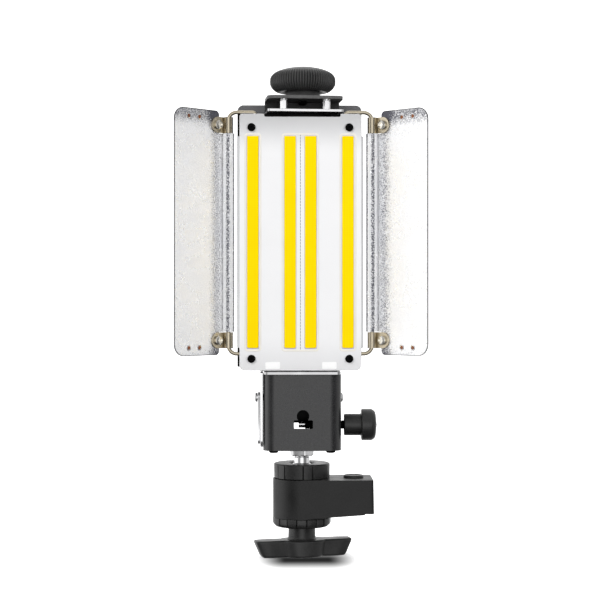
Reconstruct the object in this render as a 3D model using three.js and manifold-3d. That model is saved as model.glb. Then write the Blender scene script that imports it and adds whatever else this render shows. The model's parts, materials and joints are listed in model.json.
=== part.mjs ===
// A portable LED lamp: a white board with four light strips, two reflector doors on wire hinges,
// a thumb-screw clamp on top and a keyed mounting box below, carried by a ball head with a T-handle.
// Millimetres, +Z up. The lamp faces -Y, and +X is to the viewer's right. The origin is the underside
// of the T-handle, on the ball head's axis.
import * as THREE from 'three';
import { mergeVertices } from 'three/addons/utils/BufferGeometryUtils.js';
import Module from 'manifold-3d';

const wasm = await Module();
wasm.setup();

// ---------------------------------------------------------------- driving dimensions
const GAP = 0.1; // air between fixed neighbours
const RUN = 0.3; // air round a faceted shaft, bolt or ball
const RIGHT = Math.PI / 2;
const DEG = Math.PI / 180;

// ball head, heights along its axis
const WING_TOP = 11.5;
const WING_TURN = 13 * DEG;
const WING_SHIFT = 0.8;
const STEM = { low: 9.2, high: 8.85, top: 24 };
const RING = { z0: 20.2, z1: 26.4, r: 19.5 };
const BODY = { z0: 26.6, z1: 52.6, r: 19.4 };
const ARM = { end: 47.6, front: -19, back: 15, top: 52.8, low: 26.9, tip: 30.4, step: 41.5 };
const SPIGOT = { x: 33.5, y: -1, r: 8.1, top: 48 };
const COLLAR = { z0: 52.9, z1: 62.8, r: 18.9 };
const BALL = { z: 57, r: 9 };
const SEAT = { z0: 42, z1: 52, r: 9.2, travel: 3.2 };
const SCREW_R = 4;
const STUD_R = 4.75; // 3/8 in thread
const NUT_AF = 14.3; // 9/16 in across flats

// mounting box on the ball head's stud
const BOX = { half: 26, front: -18.6, back: 17, z0: 72.2, z1: 122.7, wall: 1.5, corner: 8 };
const SHELF = 1.7; // sheet of the inner chassis
const KEY = { r: 4.1, z: 95.2, slotLow: 86.9, slotHigh: 92.5, slotLeft: -5.6, slotRight: 6.9 };
const BOLT_Z = 106.7;
const SIDE_SCREW_Z = 88.3;

// lamp head: its centre sits a little left of the mount's axis
const HEAD_X = -1.4;
const BOARD = { half: 40.2, z0: 125.6, z1: 295.2, front: -21, back: -19.4 };
const NOTCH = { half: 25.25, z: 293.2 };
const SCREW = { x: 32.3, top: 286.2, low: 133.4, r: 1.5, head: 2.65 };
const STRIP = { z0: 140.5, z1: 280.4, half: 3.75, inner: 6.8, outer: 31.4 };
const SINK = { left: -41.6, right: 40, front: -9.9, back: -5, finBack: 6.1, z0: 124.8, top: 296.4 };
const COVER = { half: 42, z0: 128, z1: 304, front: 6.2, back: 26, wall: 1.8 };
const PANEL_Y = 17; // driver board's front face inside the rear cover
const DIAL = { x: 20, z: 148 };
const INLET = { x: -22, z: 148 };

// clamp on top
const STRAP = { half: 25.1, z0: 296.5, z1: 298.2 };
const POST = { x: 14.2, y: -16.5 };
const PLATE = { half: 25.2, z0: 305.2, z1: 307.3 };
// The clamp stands a little turned and forward on top of the head.
const CLAMP = { x: 0.56, y: -2, turn: 4.6 * DEG };
const KNOB = { neck: 11.2, r: 22.1, z0: 307.45, rim: 310.9, wide: 319.7, top: 328.6 };

// reflector doors on their bent wires
const WIRE = { x: 47.5, y: -18.05, r: 1.25, top: 296.3, low: 136.6, bend: 5.4, eye: 3.2 };
const DOOR = { z0: 135.9, z1: 297, width: 45, sheet: 0.8, roll: 3.9, rollLow: 151.7, rollHigh: 281.7 };
const CLIP = { high: 287.7, low: 145.6, half: 5.25, r: 3, screwAt: 7.6 };
const DOOR_ANGLE = 45 * DEG;

// ---------------------------------------------------------------- solids from three.js geometry
function solid(geometry) {
  const bare = geometry.index ? geometry.toNonIndexed() : geometry;
  bare.deleteAttribute('normal');
  bare.deleteAttribute('uv');
  const merged = mergeVertices(bare, 1e-4);
  const corner = (k) => new THREE.Vector3().fromBufferAttribute(merged.attributes.position, k);
  const triangles = [];
  let volume = 0;
  for (let i = 0; i < merged.index.count; i += 3) {
    const [a, b, c] = [0, 1, 2].map((k) => merged.index.getX(i + k));
    if (a === b || b === c || c === a) continue;
    triangles.push([a, b, c]);
    volume += corner(a).dot(corner(b).cross(corner(c)));
  }
  const outward = triangles.map(([a, b, c]) => (volume > 0 ? [a, b, c] : [a, c, b]));
  return new wasm.Manifold(new wasm.Mesh({
    numProp: 3,
    vertProperties: Float32Array.from(merged.attributes.position.array),
    triVerts: Uint32Array.from(outward.flat()),
  }));
}

function join(...solids) {
  return solids.reduce((whole, next) => whole.add(next));
}

function cut(whole, ...tools) {
  return tools.reduce((rest, tool) => rest.subtract(tool), whole);
}

function box(x0, x1, y0, y1, z0, z1) {
  const geometry = new THREE.BoxGeometry(x1 - x0, y1 - y0, z1 - z0);
  return solid(geometry.translate((x0 + x1) / 2, (y0 + y1) / 2, (z0 + z1) / 2));
}

// A round bar along one axis, between two places on it; `at` holds the other two coordinates.
function bar(axis, r, from, to, at = [0, 0], sides = 24, endR = r) {
  const geometry = new THREE.CylinderGeometry(endR, r, to - from, sides);
  const middle = (from + to) / 2;
  if (axis === 'x') return solid(geometry.rotateZ(-RIGHT).translate(middle, at[0], at[1]));
  if (axis === 'y') return solid(geometry.translate(at[0], middle, at[1]));
  return solid(geometry.rotateX(RIGHT).translate(at[0], at[1], middle));
}

function hexAcross(flats) {
  return flats / 2 / Math.cos(30 * DEG);
}

function ballSolid(r, z, across = 20) {
  return solid(new THREE.SphereGeometry(r, across, Math.round(across / 2)).rotateX(RIGHT).translate(0, 0, z));
}

// A profile of [radius, height] points turned about Z.
function turned(profile, sides = 36) {
  const points = profile.map(([r, z]) => new THREE.Vector2(r, z));
  return solid(new THREE.LatheGeometry(points, sides).rotateX(RIGHT));
}

function extrude(shape, depth, curveSegments) {
  return new THREE.ExtrudeGeometry(shape, { depth, bevelEnabled: false, curveSegments });
}

// Outlines pushed along Z from a plan, along Y from a front view, and along X from a side view.
function fromPlan(shape, z0, z1, curveSegments = 3) {
  return solid(extrude(shape, z1 - z0, curveSegments).translate(0, 0, z0));
}

function fromFront(shape, y0, y1, curveSegments = 3) {
  return solid(extrude(shape, y1 - y0, curveSegments).rotateX(RIGHT).translate(0, y1, 0));
}

function fromSide(shape, x0, x1, curveSegments = 3) {
  return solid(extrude(shape, x1 - x0, curveSegments).rotateX(RIGHT).rotateZ(RIGHT).translate(x0, 0, 0));
}

function polygon(points) {
  return new THREE.Shape(points.map(([a, b]) => new THREE.Vector2(a, b)));
}

function roundedRect(x0, x1, z0, z1, [bl, br, tr, tl]) {
  const shape = new THREE.Shape();
  shape.moveTo(x0 + bl, z0);
  shape.lineTo(x1 - br, z0);
  if (br) shape.absarc(x1 - br, z0 + br, br, -RIGHT, 0);
  shape.lineTo(x1, z1 - tr);
  if (tr) shape.absarc(x1 - tr, z1 - tr, tr, 0, RIGHT);
  shape.lineTo(x0 + tl, z1);
  if (tl) shape.absarc(x0 + tl, z1 - tl, tl, RIGHT, 2 * RIGHT);
  shape.lineTo(x0, z0 + bl);
  if (bl) shape.absarc(x0 + bl, z0 + bl, bl, 2 * RIGHT, 3 * RIGHT);
  return shape;
}

// A bent wire's centre line: its stations are the points of the bends, and straights have none between.
class CentreLine extends THREE.Curve {
  constructor(stations) {
    super();
    this.stations = stations;
  }

  getSpacedPoints() {
    return this.stations;
  }

  getTangentAt(u, target = new THREE.Vector3()) {
    const last = this.stations.length - 1;
    const i = Math.round(u * last);
    const ahead = this.stations[Math.min(i + 1, last)];
    return target.copy(ahead).sub(this.stations[Math.max(i - 1, 0)]).normalize();
  }
}

// ---------------------------------------------------------------- materials and meshes
function finish(color, roughness, metalness) {
  return new THREE.MeshStandardMaterial({ color, roughness, metalness });
}

const FINISH = {
  boardWhite: finish(0xe9e9ea, 0.45, 0),
  phosphor: finish(0xffde00, 0.5, 0),
  blackSteel: finish(0x0c0c0c, 0.4, 0.6),
  blackPaint: finish(0x1b1b1c, 0.5, 0.2),
  castBlack: finish(0x2a2a2b, 0.6, 0.3),
  blackPlastic: finish(0x1c1c1d, 0.5, 0),
  greyShell: finish(0x35363a, 0.5, 0.2),
  brightSteel: finish(0xc9cacc, 0.3, 1),
  chrome: finish(0xd8d8da, 0.12, 1),
  nickel: finish(0xb3a78c, 0.3, 1),
  reflector: finish(0xdadada, 0.25, 1),
  circuit: finish(0x1f6b3a, 0.6, 0),
};

function piece(name, shape, material) {
  const { vertProperties, triVerts } = shape.getMesh();
  const geometry = new THREE.BufferGeometry();
  geometry.setAttribute('position', new THREE.BufferAttribute(Float32Array.from(vertProperties), 3));
  geometry.setIndex(new THREE.BufferAttribute(Uint32Array.from(triVerts), 1));
  geometry.computeVertexNormals();
  const mesh = new THREE.Mesh(geometry, material);
  mesh.name = name;
  return mesh;
}

// ---------------------------------------------------------------- ball head
function grooves(count, first, width, depthR, z0, z1, outerR) {
  const half = outerR * Math.sin((width / 2) * DEG);
  return Array.from({ length: count }, (_, k) => {
    const angle = (first + (360 / count) * k) * DEG;
    const wedge = new THREE.BoxGeometry(2 * half, outerR, z1 - z0);
    wedge.translate(0, -(depthR + outerR / 2), (z0 + z1) / 2);
    return solid(wedge.rotateZ(angle));
  });
}

function wingHandle() {
  // Half of the outline from one tip to the other; the other half is the same turned round.
  const hub = 12;
  const tip = 33.8;
  const plan = new THREE.Shape();
  plan.moveTo(-tip, 4.2);
  for (const side of [1, -1]) {
    plan.lineTo(-side * tip, -side * 4.2);
    plan.quadraticCurveTo(-side * (tip - 3), -side * 6.6, -side * (tip - 9), -side * 6.9);
    plan.quadraticCurveTo(-side * (hub + 2), -side * 7, -side * (hub - 2), -side * 9.4);
    plan.quadraticCurveTo(-side * 5, -side * hub, 0, -side * hub);
    plan.quadraticCurveTo(side * 5, -side * hub, side * (hub - 2), -side * 9.4);
    plan.quadraticCurveTo(side * (hub + 2), -side * 7, side * (tip - 9), -side * 6.9);
    plan.quadraticCurveTo(side * (tip - 3), -side * 6.6, side * tip, -side * 4.2);
  }
  const slant = 5.4;
  const front = polygon([[-tip + slant, 0], [tip - slant, 0], [tip, WING_TOP], [-tip, WING_TOP]]);
  const wing = fromPlan(plan, 0, WING_TOP, 2).intersect(fromFront(front, -20, 20)).translate([WING_SHIFT, 0, 0]);
  const stem = bar('z', STEM.low, WING_TOP - 1, STEM.top, [0, 0], 32, STEM.high);
  return cut(join(wing, stem), bar('z', SCREW_R + RUN, 5.7, STEM.top + 1));
}

function clampBody() {
  const arm = polygon([
    [10, ARM.low], [ARM.step, ARM.tip - 0.8], [ARM.step, ARM.tip], [ARM.end, ARM.tip],
    [ARM.end, ARM.top], [10, ARM.top],
  ]);
  const whole = join(
    bar('z', BODY.r, BODY.z0, BODY.z1, [0, 0], 48),
    fromFront(arm, ARM.front, ARM.back),
  );
  return cut(
    whole,
    bar('z', SEAT.r + RUN, SEAT.z0 - SEAT.travel, ARM.top + 1),
    bar('z', SCREW_R + RUN, BODY.z0 - 1, SEAT.z0),
    bar('z', SPIGOT.r, BODY.z0 - 1, SPIGOT.top, [SPIGOT.x, SPIGOT.y], 24),
  );
}

function ballCollar() {
  const lipZ = 61.8;
  const cavity = BALL.r + RUN;
  const arc = [COLLAR.z0, 54.5, BALL.z, 59, 60.6, lipZ].map((z) => [
    Math.sqrt(cavity ** 2 - (z - BALL.z) ** 2), z,
  ]);
  const chamfer = 0.8;
  const profile = [
    ...arc, [9.4, COLLAR.z1], [COLLAR.r - chamfer, COLLAR.z1], [COLLAR.r, COLLAR.z1 - chamfer],
    [COLLAR.r, COLLAR.z0], arc[0],
  ];
  return cut(turned(profile), ...grooves(6, 11.5, 17, 17.8, COLLAR.z0 - 1, COLLAR.z1 + 1, COLLAR.r));
}

function lockRing() {
  const inner = STEM.low + RUN;
  const round = 2.6;
  const profile = [
    [inner, RING.z0], [RING.r - round, RING.z0], [RING.r - 0.8, RING.z0 + 0.9],
    [RING.r, RING.z0 + round], [RING.r, RING.z1], [inner, RING.z1], [inner, RING.z0],
  ];
  return cut(turned(profile), ...grooves(6, 11.5, 8, 18.7, RING.z0 - 1, RING.z1 + 1, RING.r));
}

function ballHead() {
  const group = new THREE.Group();
  const hollow = ballSolid(BALL.r + RUN, BALL.z);
  const handle = new THREE.Group();
  handle.rotation.z = WING_TURN;
  handle.add(piece('t_handle', wingHandle(), FINISH.blackPlastic));
  group.add(
    handle,
    piece('t_screw', bar('z', SCREW_R, 6, SEAT.z0 - GAP), FINISH.brightSteel),
    piece('lock_ring', lockRing(), FINISH.blackPlastic),
    piece('clamp_body', clampBody(), FINISH.castBlack),
    piece('arm_cap', bar('z', 6.75, ARM.top + GAP, ARM.top + 1.8, [34.7, SPIGOT.y], 32), FINISH.blackPlastic),
    piece('ball_seat', cut(bar('z', SEAT.r, SEAT.z0, SEAT.z1), hollow), FINISH.blackPlastic),
    piece('ball_collar', ballCollar(), FINISH.blackPlastic),
    piece('ball', ballSolid(BALL.r, BALL.z), FINISH.chrome),
    piece('ball_stud', cut(bar('z', STUD_R, BALL.z + 5, 82), hollow), FINISH.chrome),
  );
  for (const [name, z0, z1] of [['lock_nut', 67.5, 72.1], ['inner_nut', 74.1, 79.5]]) {
    const nut = cut(
      bar('z', hexAcross(NUT_AF), z0, z1, [0, 0], 6),
      bar('z', STUD_R + RUN, z0 - 1, z1 + 1),
    );
    const turn = new THREE.Group();
    turn.rotation.z = 14 * DEG;
    turn.add(piece(name, nut, FINISH.brightSteel));
    group.add(turn);
  }
  return group;
}

// ---------------------------------------------------------------- mounting box
function mountCover() {
  const { half, front, back, wall, corner } = BOX;
  const outline = new THREE.Shape();
  outline.moveTo(-half, back);
  outline.lineTo(-half, front + corner);
  outline.absarc(-half + corner, front + corner, corner, 2 * RIGHT, 3 * RIGHT);
  outline.lineTo(half - corner, front);
  outline.absarc(half - corner, front + corner, corner, -RIGHT, 0);
  outline.lineTo(half, back);
  outline.lineTo(half - wall, back);
  outline.lineTo(half - wall, front + corner);
  outline.absarc(half - corner, front + corner, corner - wall, 0, -RIGHT, true);
  outline.lineTo(-half + corner, front + wall);
  outline.absarc(-half + corner, front + corner, corner - wall, -RIGHT, -2 * RIGHT, true);
  outline.lineTo(-half + wall, back);
  return cut(
    fromPlan(outline, BOX.z0, BOX.z1),
    bar('y', KEY.r, front - 1, front + wall + 1, [0.4, KEY.z]),
    box(KEY.slotLeft, KEY.slotRight, front - 1, front + wall + 1, KEY.slotLow, KEY.slotHigh),
    bar('x', 2 + RUN, -half - 1, half + 1, [0, BOLT_Z]),
    bar('x', 3 + RUN, half - wall - 1, half + 1, [0, SIDE_SCREW_Z]),
  );
}

function mountChassis() {
  const inside = BOX.half - BOX.wall - GAP;
  const frontInside = BOX.front + BOX.wall + GAP;
  const chamfer = BOX.corner - BOX.wall;
  const top = BOX.z1 + 0.2;
  const low = BOX.z0 + GAP;
  const wallBack = BOX.back + GAP + SHELF;
  const floor = polygon([
    [-inside, frontInside + chamfer], [-inside + chamfer, frontInside], [inside - chamfer, frontInside],
    [inside, frontInside + chamfer], [inside, wallBack], [-inside, wallBack],
  ]);
  const whole = join(
    box(-25.4, 25.4, -20.6, wallBack, top, top + SHELF),
    box(-25.4, 25.4, BOX.back + GAP, wallBack, low, top + SHELF),
    fromPlan(floor, low, low + SHELF),
  );
  const footHoles = [-19, 19].map((x) => bar('z', 1.5 + RUN, low - 1, low + 4, [x, -12], 16));
  return cut(
    whole,
    bar('z', STUD_R + RUN, low - 1, low + 4),
    box(-6, 6, BOX.back - 1, wallBack + 1, 82.5, 88.3),
    ...footHoles,
  );
}

function sideLatch() {
  const top = 3.7;
  const outline = new THREE.Shape();
  outline.moveTo(-8, 76);
  outline.lineTo(8, 76);
  outline.absarc(8, 79, 3, -RIGHT, 0);
  outline.lineTo(11, 92);
  outline.lineTo(top, BOLT_Z);
  outline.absarc(0, BOLT_Z, top, 0, 2 * RIGHT);
  outline.lineTo(-11, 92);
  outline.lineTo(-11, 79);
  outline.absarc(-8, 79, 3, 2 * RIGHT, 3 * RIGHT);
  return cut(fromSide(outline, -29.6, -28), bar('x', 2 + RUN, -31, -27, [0, BOLT_Z]));
}

function sideScrew() {
  const axis = [0, SIDE_SCREW_Z];
  const knob = join(
    bar('x', 7.3, 28.4, 41.7, axis, 32),
    bar('x', 10.7, 40.7, 49.2, axis, 36),
    bar('x', 10.7, 49.2, 50.6, axis, 36, 8.8),
  );
  return [
    piece('side_stud', bar('x', 3, 2.1, 44.6, axis), FINISH.blackSteel),
    piece('side_tip', bar('x', 2, -2.2, 2, axis, 16), FINISH.brightSteel),
    piece('side_knob', cut(knob, bar('x', 3 + RUN, 28, 45, axis)), FINISH.blackPlastic),
  ];
}

function mountBox() {
  const group = new THREE.Group();
  const plate = cut(
    fromSide(roundedRect(-14, 14, 74, 124.5, [5, 5, 1, 1]), -27.9, -26.1),
    bar('x', 2 + RUN, -29, -25, [0, BOLT_Z]),
  );
  const bolt = join(
    bar('x', 3.2, -31.6, -29.8, [0, BOLT_Z]),
    bar('x', 2, -30, 27, [0, BOLT_Z], 16),
  );
  const nut = cut(
    bar('x', 3.3, 26.1, 28.2, [0, BOLT_Z], 20, 2.4),
    bar('x', 2 + RUN, 26, 27.2, [0, BOLT_Z], 16),
  );
  group.add(
    piece('mount_chassis', mountChassis(), FINISH.brightSteel),
    piece('mount_cover', mountCover(), FINISH.blackPaint),
    piece('side_plate', plate, FINISH.brightSteel),
    piece('side_latch', sideLatch(), FINISH.brightSteel),
    piece('cross_bolt', bolt, FINISH.brightSteel),
    piece('dome_nut', nut, FINISH.brightSteel),
    ...sideScrew(),
  );
  for (const [side, x] of [['left', -19], ['right', 19]]) {
    const screw = join(
      bar('z', 3.1, 70.4, BOX.z0 - GAP, [x, -12], 20),
      bar('z', 1.5, 72, 76.5, [x, -12], 12),
    );
    group.add(piece(`foot_screw_${side}`, screw, FINISH.blackSteel));
  }
  return group;
}

// ---------------------------------------------------------------- lamp head
function ledBoard() {
  const { half, z0, z1, front, back } = BOARD;
  const outline = roundedRect(-half, half, z0, z1, [3.5, 3.5, 2, 2]);
  const middle = -HEAD_X;
  const holes = [-SCREW.x, SCREW.x].flatMap((x) => [SCREW.low, SCREW.top].map((z) => (
    bar('y', SCREW.r + 0.2, front - 1, back + 1, [x, z], 16)
  )));
  return cut(
    fromFront(outline, front, back),
    box(middle - NOTCH.half, middle + NOTCH.half, front - 1, back + 1, NOTCH.z, z1 + 1),
    ...holes,
  );
}

// The heat sink: a base plate, a block at each end that the board is screwed to, and fins behind.
function heatSink() {
  const { left, right, front, back, finBack, z0, top } = SINK;
  const blockFront = WIRE.y + WIRE.r + GAP;
  const finPitch = 8.8;
  const finHalf = 0.8;
  const fins = [-4, -3, -2, -1, 0, 1, 2, 3, 4].map((k) => (
    box(k * finPitch - finHalf, k * finPitch + finHalf, back - 1, finBack, 131, 294.4)
  ));
  const whole = join(
    box(left, right, front, back, 128, 296),
    box(-25, 25, front, back, z0, top),
    box(left, right, blockFront, front + 1, 128, STRIP.z0 - GAP),
    box(left, right, blockFront, front + 1, 280.6, 296),
    ...fins,
  );
  const screwHoles = [-SCREW.x, SCREW.x].flatMap((x) => [SCREW.low, SCREW.top].map((z) => (
    bar('y', SCREW.r + RUN, blockFront - 1, front, [x, z], 12)
  )));
  const middle = -HEAD_X;
  return cut(
    whole,
    box(middle - 25.5, middle + 25.5, blockFront - 1, front, 293, 298),
    ...screwHoles,
  );
}

// The tray that stiffens the board between the end blocks; its edges show at both sides.
function ledCarrier() {
  const half = 41.7;
  const front = BOARD.back + GAP;
  const back = SINK.front - GAP;
  const wall = 1.6;
  return cut(
    box(-half, half, front, back, STRIP.z0, 280.5),
    box(-half + wall, half - wall, front + wall, back + 1, STRIP.z0 + wall, 280.5 - wall),
  );
}

function rearCover() {
  const { half, z0, z1, front, back, wall } = COVER;
  const outer = fromFront(roundedRect(-half, half, z0, z1, [3, 3, 3, 3]), front, back);
  const cavity = box(-half + wall, half - wall, front + wall, back - wall, z0 + wall, z1 - wall);
  const mouth = box(-38, 38, front - 1, front + wall + 1, 131, 294.5);
  const vents = [0, 1, 2, 3, 4, 5, 6, 7].map((k) => {
    const z = 190 + 9 * k;
    return box(-24, 24, back - wall - 1, back + 1, z, z + 3);
  });
  return cut(
    outer,
    cavity,
    mouth,
    ...vents,
    bar('y', 4 + RUN, back - wall - 1, back + 1, [INLET.x, INLET.z]),
    bar('y', 3 + RUN, back - wall - 1, back + 1, [DIAL.x, DIAL.z]),
  );
}

function driverBoard() {
  const sheet = 1.6;
  const back = PANEL_Y + sheet;
  const legTo = COVER.back - COVER.wall - GAP;
  const legs = [-30, 30].flatMap((x) => [165, 275].map((z) => bar('y', 2.5, back - 0.5, legTo, [x, z], 12)));
  return join(
    box(-36, 36, PANEL_Y, back, 138, 288),
    box(-12, 12, 9.2, PANEL_Y + 0.5, 205, 232),
    bar('y', 5.5, 9.4, PANEL_Y + 0.5, [-24, 250], 20),
    bar('y', 5.5, 9.4, PANEL_Y + 0.5, [-10, 250], 20),
    box(14, 30, 10, PANEL_Y + 0.5, 242, 262),
    bar('y', 8, back - 0.5, legTo, [DIAL.x, DIAL.z], 20),
    ...legs,
  );
}

function dcInlet() {
  const { x, z } = INLET;
  const face = COVER.back + 1.6;
  const shell = join(
    bar('y', 6.5, COVER.back + GAP, face, [x, z]),
    bar('y', 4, PANEL_Y + 1.7, COVER.back + 0.5, [x, z]),
  );
  const socket = cut(shell, bar('y', 2.8, 20, face + 1, [x, z]));
  return join(socket, bar('y', 1, 19.5, face - 1, [x, z], 12));
}

// A button-head screw through the board into an end block, inside the eye of the wire.
function boardScrew(x, z) {
  const shank = bar('y', SCREW.r, -21.5, SINK.front - 0.5, [x, z], 12);
  const head = bar('y', SCREW.head - 0.7, -22.65, -22, [x, z], 20, SCREW.head);
  return join(head, bar('y', SCREW.head, -22, BOARD.front - 0.05, [x, z], 20), shank);
}

// Each wire hooks round a top and a bottom screw of the board, and its long upright run is the hinge.
function doorWire(side) {
  const stations = [];
  const add = (x, z) => stations.push(new THREE.Vector3(side * x, WIRE.y, z));
  const bend = (x, z, r, from, to, steps) => {
    for (let k = 0; k <= steps; k += 1) {
      const angle = (from + ((to - from) * k) / steps) * DEG;
      add(x + r * Math.cos(angle), z + r * Math.sin(angle));
    }
  };
  const inner = SCREW.x - WIRE.eye;
  const hook = 3;
  bend(SCREW.x, SCREW.top, WIRE.eye, 360, 180, 9);
  bend(inner + hook, WIRE.top - hook, hook, 180, 90, 5);
  bend(WIRE.x - WIRE.bend, WIRE.top - WIRE.bend, WIRE.bend, 90, 0, 6);
  bend(WIRE.x - WIRE.bend, WIRE.low + WIRE.bend, WIRE.bend, 0, -90, 6);
  bend(SCREW.x, SCREW.low, WIRE.eye, 90, 360, 13);
  const section = new THREE.Shape().absarc(0, 0, WIRE.r, 0, 4 * RIGHT);
  return solid(new THREE.ExtrudeGeometry(section, {
    steps: stations.length - 1,
    curveSegments: 4,
    extrudePath: new CentreLine(stations),
  }));
}

function lampHead() {
  const group = new THREE.Group();
  group.position.x = HEAD_X;
  group.add(
    piece('led_board', ledBoard(), FINISH.boardWhite),
    piece('led_carrier', ledCarrier(), FINISH.brightSteel),
    piece('heat_sink', heatSink(), FINISH.blackPaint),
    piece('rear_cover', rearCover(), FINISH.greyShell),
    piece('driver_board', driverBoard(), FINISH.circuit),
    piece('dc_inlet', dcInlet(), FINISH.blackPlastic),
    piece('dimmer_knob', dimmerKnob(), FINISH.blackPlastic),
    piece('door_wire_left', doorWire(-1), FINISH.nickel),
    piece('door_wire_right', doorWire(1), FINISH.nickel),
  );
  [-STRIP.outer, -STRIP.inner, STRIP.inner, STRIP.outer].forEach((x, k) => {
    const outline = roundedRect(x - STRIP.half, x + STRIP.half, STRIP.z0, STRIP.z1, [0.8, 0.8, 0.4, 0.4]);
    const strip = fromFront(outline, BOARD.front - 0.5, BOARD.front - 0.05, 1);
    group.add(piece(`cob_strip_${k + 1}`, strip, FINISH.phosphor));
  });
  let count = 0;
  for (const z of [SCREW.top, SCREW.low]) {
    for (const x of [-SCREW.x, SCREW.x]) {
      count += 1;
      group.add(piece(`board_screw_${count}`, boardScrew(x, z), FINISH.blackSteel));
    }
  }
  return group;
}

function dimmerKnob() {
  const at = [DIAL.x, DIAL.z];
  const from = COVER.back + 0.3;
  return join(
    bar('y', 3, COVER.back - COVER.wall, from + 1, at),
    bar('y', 9, from, 38.6, at, 32),
    bar('y', 9, 38.6, 40, at, 32, 7.6),
  );
}

// ---------------------------------------------------------------- clamp on top of the lamp
function clampPlate() {
  const { half, z0, z1 } = PLATE;
  const front = -20;
  const back = 6;
  return cut(
    join(
      fromPlan(roundedRect(-half, half, front, back, [5, 5, 0, 0]), z0, z1),
      box(-half, half, back - 2, back, STRAP.z0, z0 + 1),
    ),
    bar('z', 3 + RUN, z0 - 1, z1 + 1),
    bar('z', 1.3 + RUN, z0 - 1, z1 + 1, [-POST.x, POST.y], 12),
    bar('z', 1.3 + RUN, z0 - 1, z1 + 1, [POST.x, POST.y], 12),
  );
}

function clampKnob() {
  const { neck, r, z0, rim, wide, top } = KNOB;
  const profile = [
    [0, z0], [neck, z0], [neck, rim + 1], [neck + 4.6, rim + 0.4], [r - 2.2, rim + 2.4],
    [r - 0.3, wide - 2.6], [r, wide], [r - 0.9, wide + 3.2], [r - 3.6, wide + 5.8],
    [r - 7.6, top - 1.8], [r - 12, top - 0.9], [0, top],
  ];
  return cut(turned(profile), bar('z', 3 + RUN, z0 - 1, 322.4));
}

function topClamp() {
  const group = new THREE.Group();
  group.position.set(CLAMP.x, CLAMP.y, 0);
  group.rotation.z = CLAMP.turn;
  const strap = cut(
    box(-STRAP.half, STRAP.half, -20.6, 3.9, STRAP.z0, STRAP.z1),
    bar('z', 1.5 + RUN, STRAP.z0 - 1, STRAP.z1 + 1, [-POST.x, POST.y], 12),
    bar('z', 1.5 + RUN, STRAP.z0 - 1, STRAP.z1 + 1, [POST.x, POST.y], 12),
  );
  group.add(
    piece('top_strap', strap, FINISH.brightSteel),
    piece('clamp_plate', clampPlate(), FINISH.blackPaint),
    piece('clamp_foot', bar('z', 2.8, 302.9, 304.9), FINISH.blackSteel),
    piece('clamp_stud', bar('z', 3, 305, 322), FINISH.blackSteel),
    piece('clamp_knob', clampKnob(), FINISH.blackPlastic),
  );
  for (const [side, x] of [['left', -POST.x], ['right', POST.x]]) {
    const at = [x, POST.y];
    const post = cut(
      join(
        bar('z', hexAcross(4.5), STRAP.z1 + GAP, PLATE.z0 - GAP, at, 6),
        bar('z', 1.3, PLATE.z0 - 0.5, 306.8, at, 12),
      ),
      bar('z', 1.5 + RUN, STRAP.z1 - 1, 301.4, at, 12),
    );
    const screw = join(
      bar('z', 2.6, 294.2, STRAP.z0 - GAP, at, 20),
      bar('z', 1.5, 296, 301, at, 12),
    );
    group.add(piece(`clamp_standoff_${side}`, post, FINISH.brightSteel));
    group.add(piece(`strap_screw_${side}`, screw, FINISH.blackSteel));
  }
  return group;
}

// ---------------------------------------------------------------- reflector doors
// Drawn about the hinge: +X runs from the wire to the door's free edge, and +Y is its back.
function doorPanel() {
  const backY = DOOR.roll;
  const frontY = DOOR.roll - DOOR.sheet;
  const leafStart = 5.5;
  const leaf = fromFront(
    roundedRect(leafStart, DOOR.width, DOOR.z0, DOOR.z1, [3, 8, 8, 3]), frontY, backY,
  );
  const tongue = box(0, leafStart + 1, frontY, backY, DOOR.rollLow, DOOR.rollHigh);
  const rolled = new THREE.Shape();
  const start = 88 * DEG;
  const end = 405 * DEG;
  rolled.absarc(0, 0, DOOR.roll, start, end);
  rolled.absarc(0, 0, frontY, end, start, true);
  const hem = fromPlan(rolled, DOOR.rollLow, DOOR.rollHigh, 8);
  const holes = [CLIP.low, CLIP.high].map((z) => bar('y', 1.75 + RUN, 2, 5, [CLIP.screwAt, z], 16));
  return cut(join(leaf, tongue, hem), ...holes);
}

// A strap clip: a ring that turns on the wire, with a flange screwed to the door.
function doorClip(z) {
  const flange = new THREE.Shape();
  flange.moveTo(0, z - CLIP.half);
  flange.lineTo(CLIP.screwAt, z - CLIP.half);
  flange.absarc(CLIP.screwAt, z, CLIP.half, -RIGHT, RIGHT);
  flange.lineTo(0, z + CLIP.half);
  return cut(
    join(
      bar('z', CLIP.r, z - CLIP.half, z + CLIP.half, [0, 0], 20),
      fromFront(flange, 1.8, CLIP.r),
    ),
    bar('z', 1.8, z - CLIP.half - 1, z + CLIP.half + 1, [0, 0], 16),
    bar('y', 1.75 + RUN, 1, 4, [CLIP.screwAt, z], 16),
  );
}

// A pan-head screw through clip and door, with its hexagon nut behind.
function clipBolt(z) {
  const at = [CLIP.screwAt, z];
  return join(
    bar('y', 2.4, -0.5, 0.3, at, 20, 3.2),
    bar('y', 3.2, 0.3, 1.7, at, 20),
    bar('y', 1.75, 1.5, 7, at, 12),
    bar('y', hexAcross(5.5), 4, 6.4, at, 6),
  );
}

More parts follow.
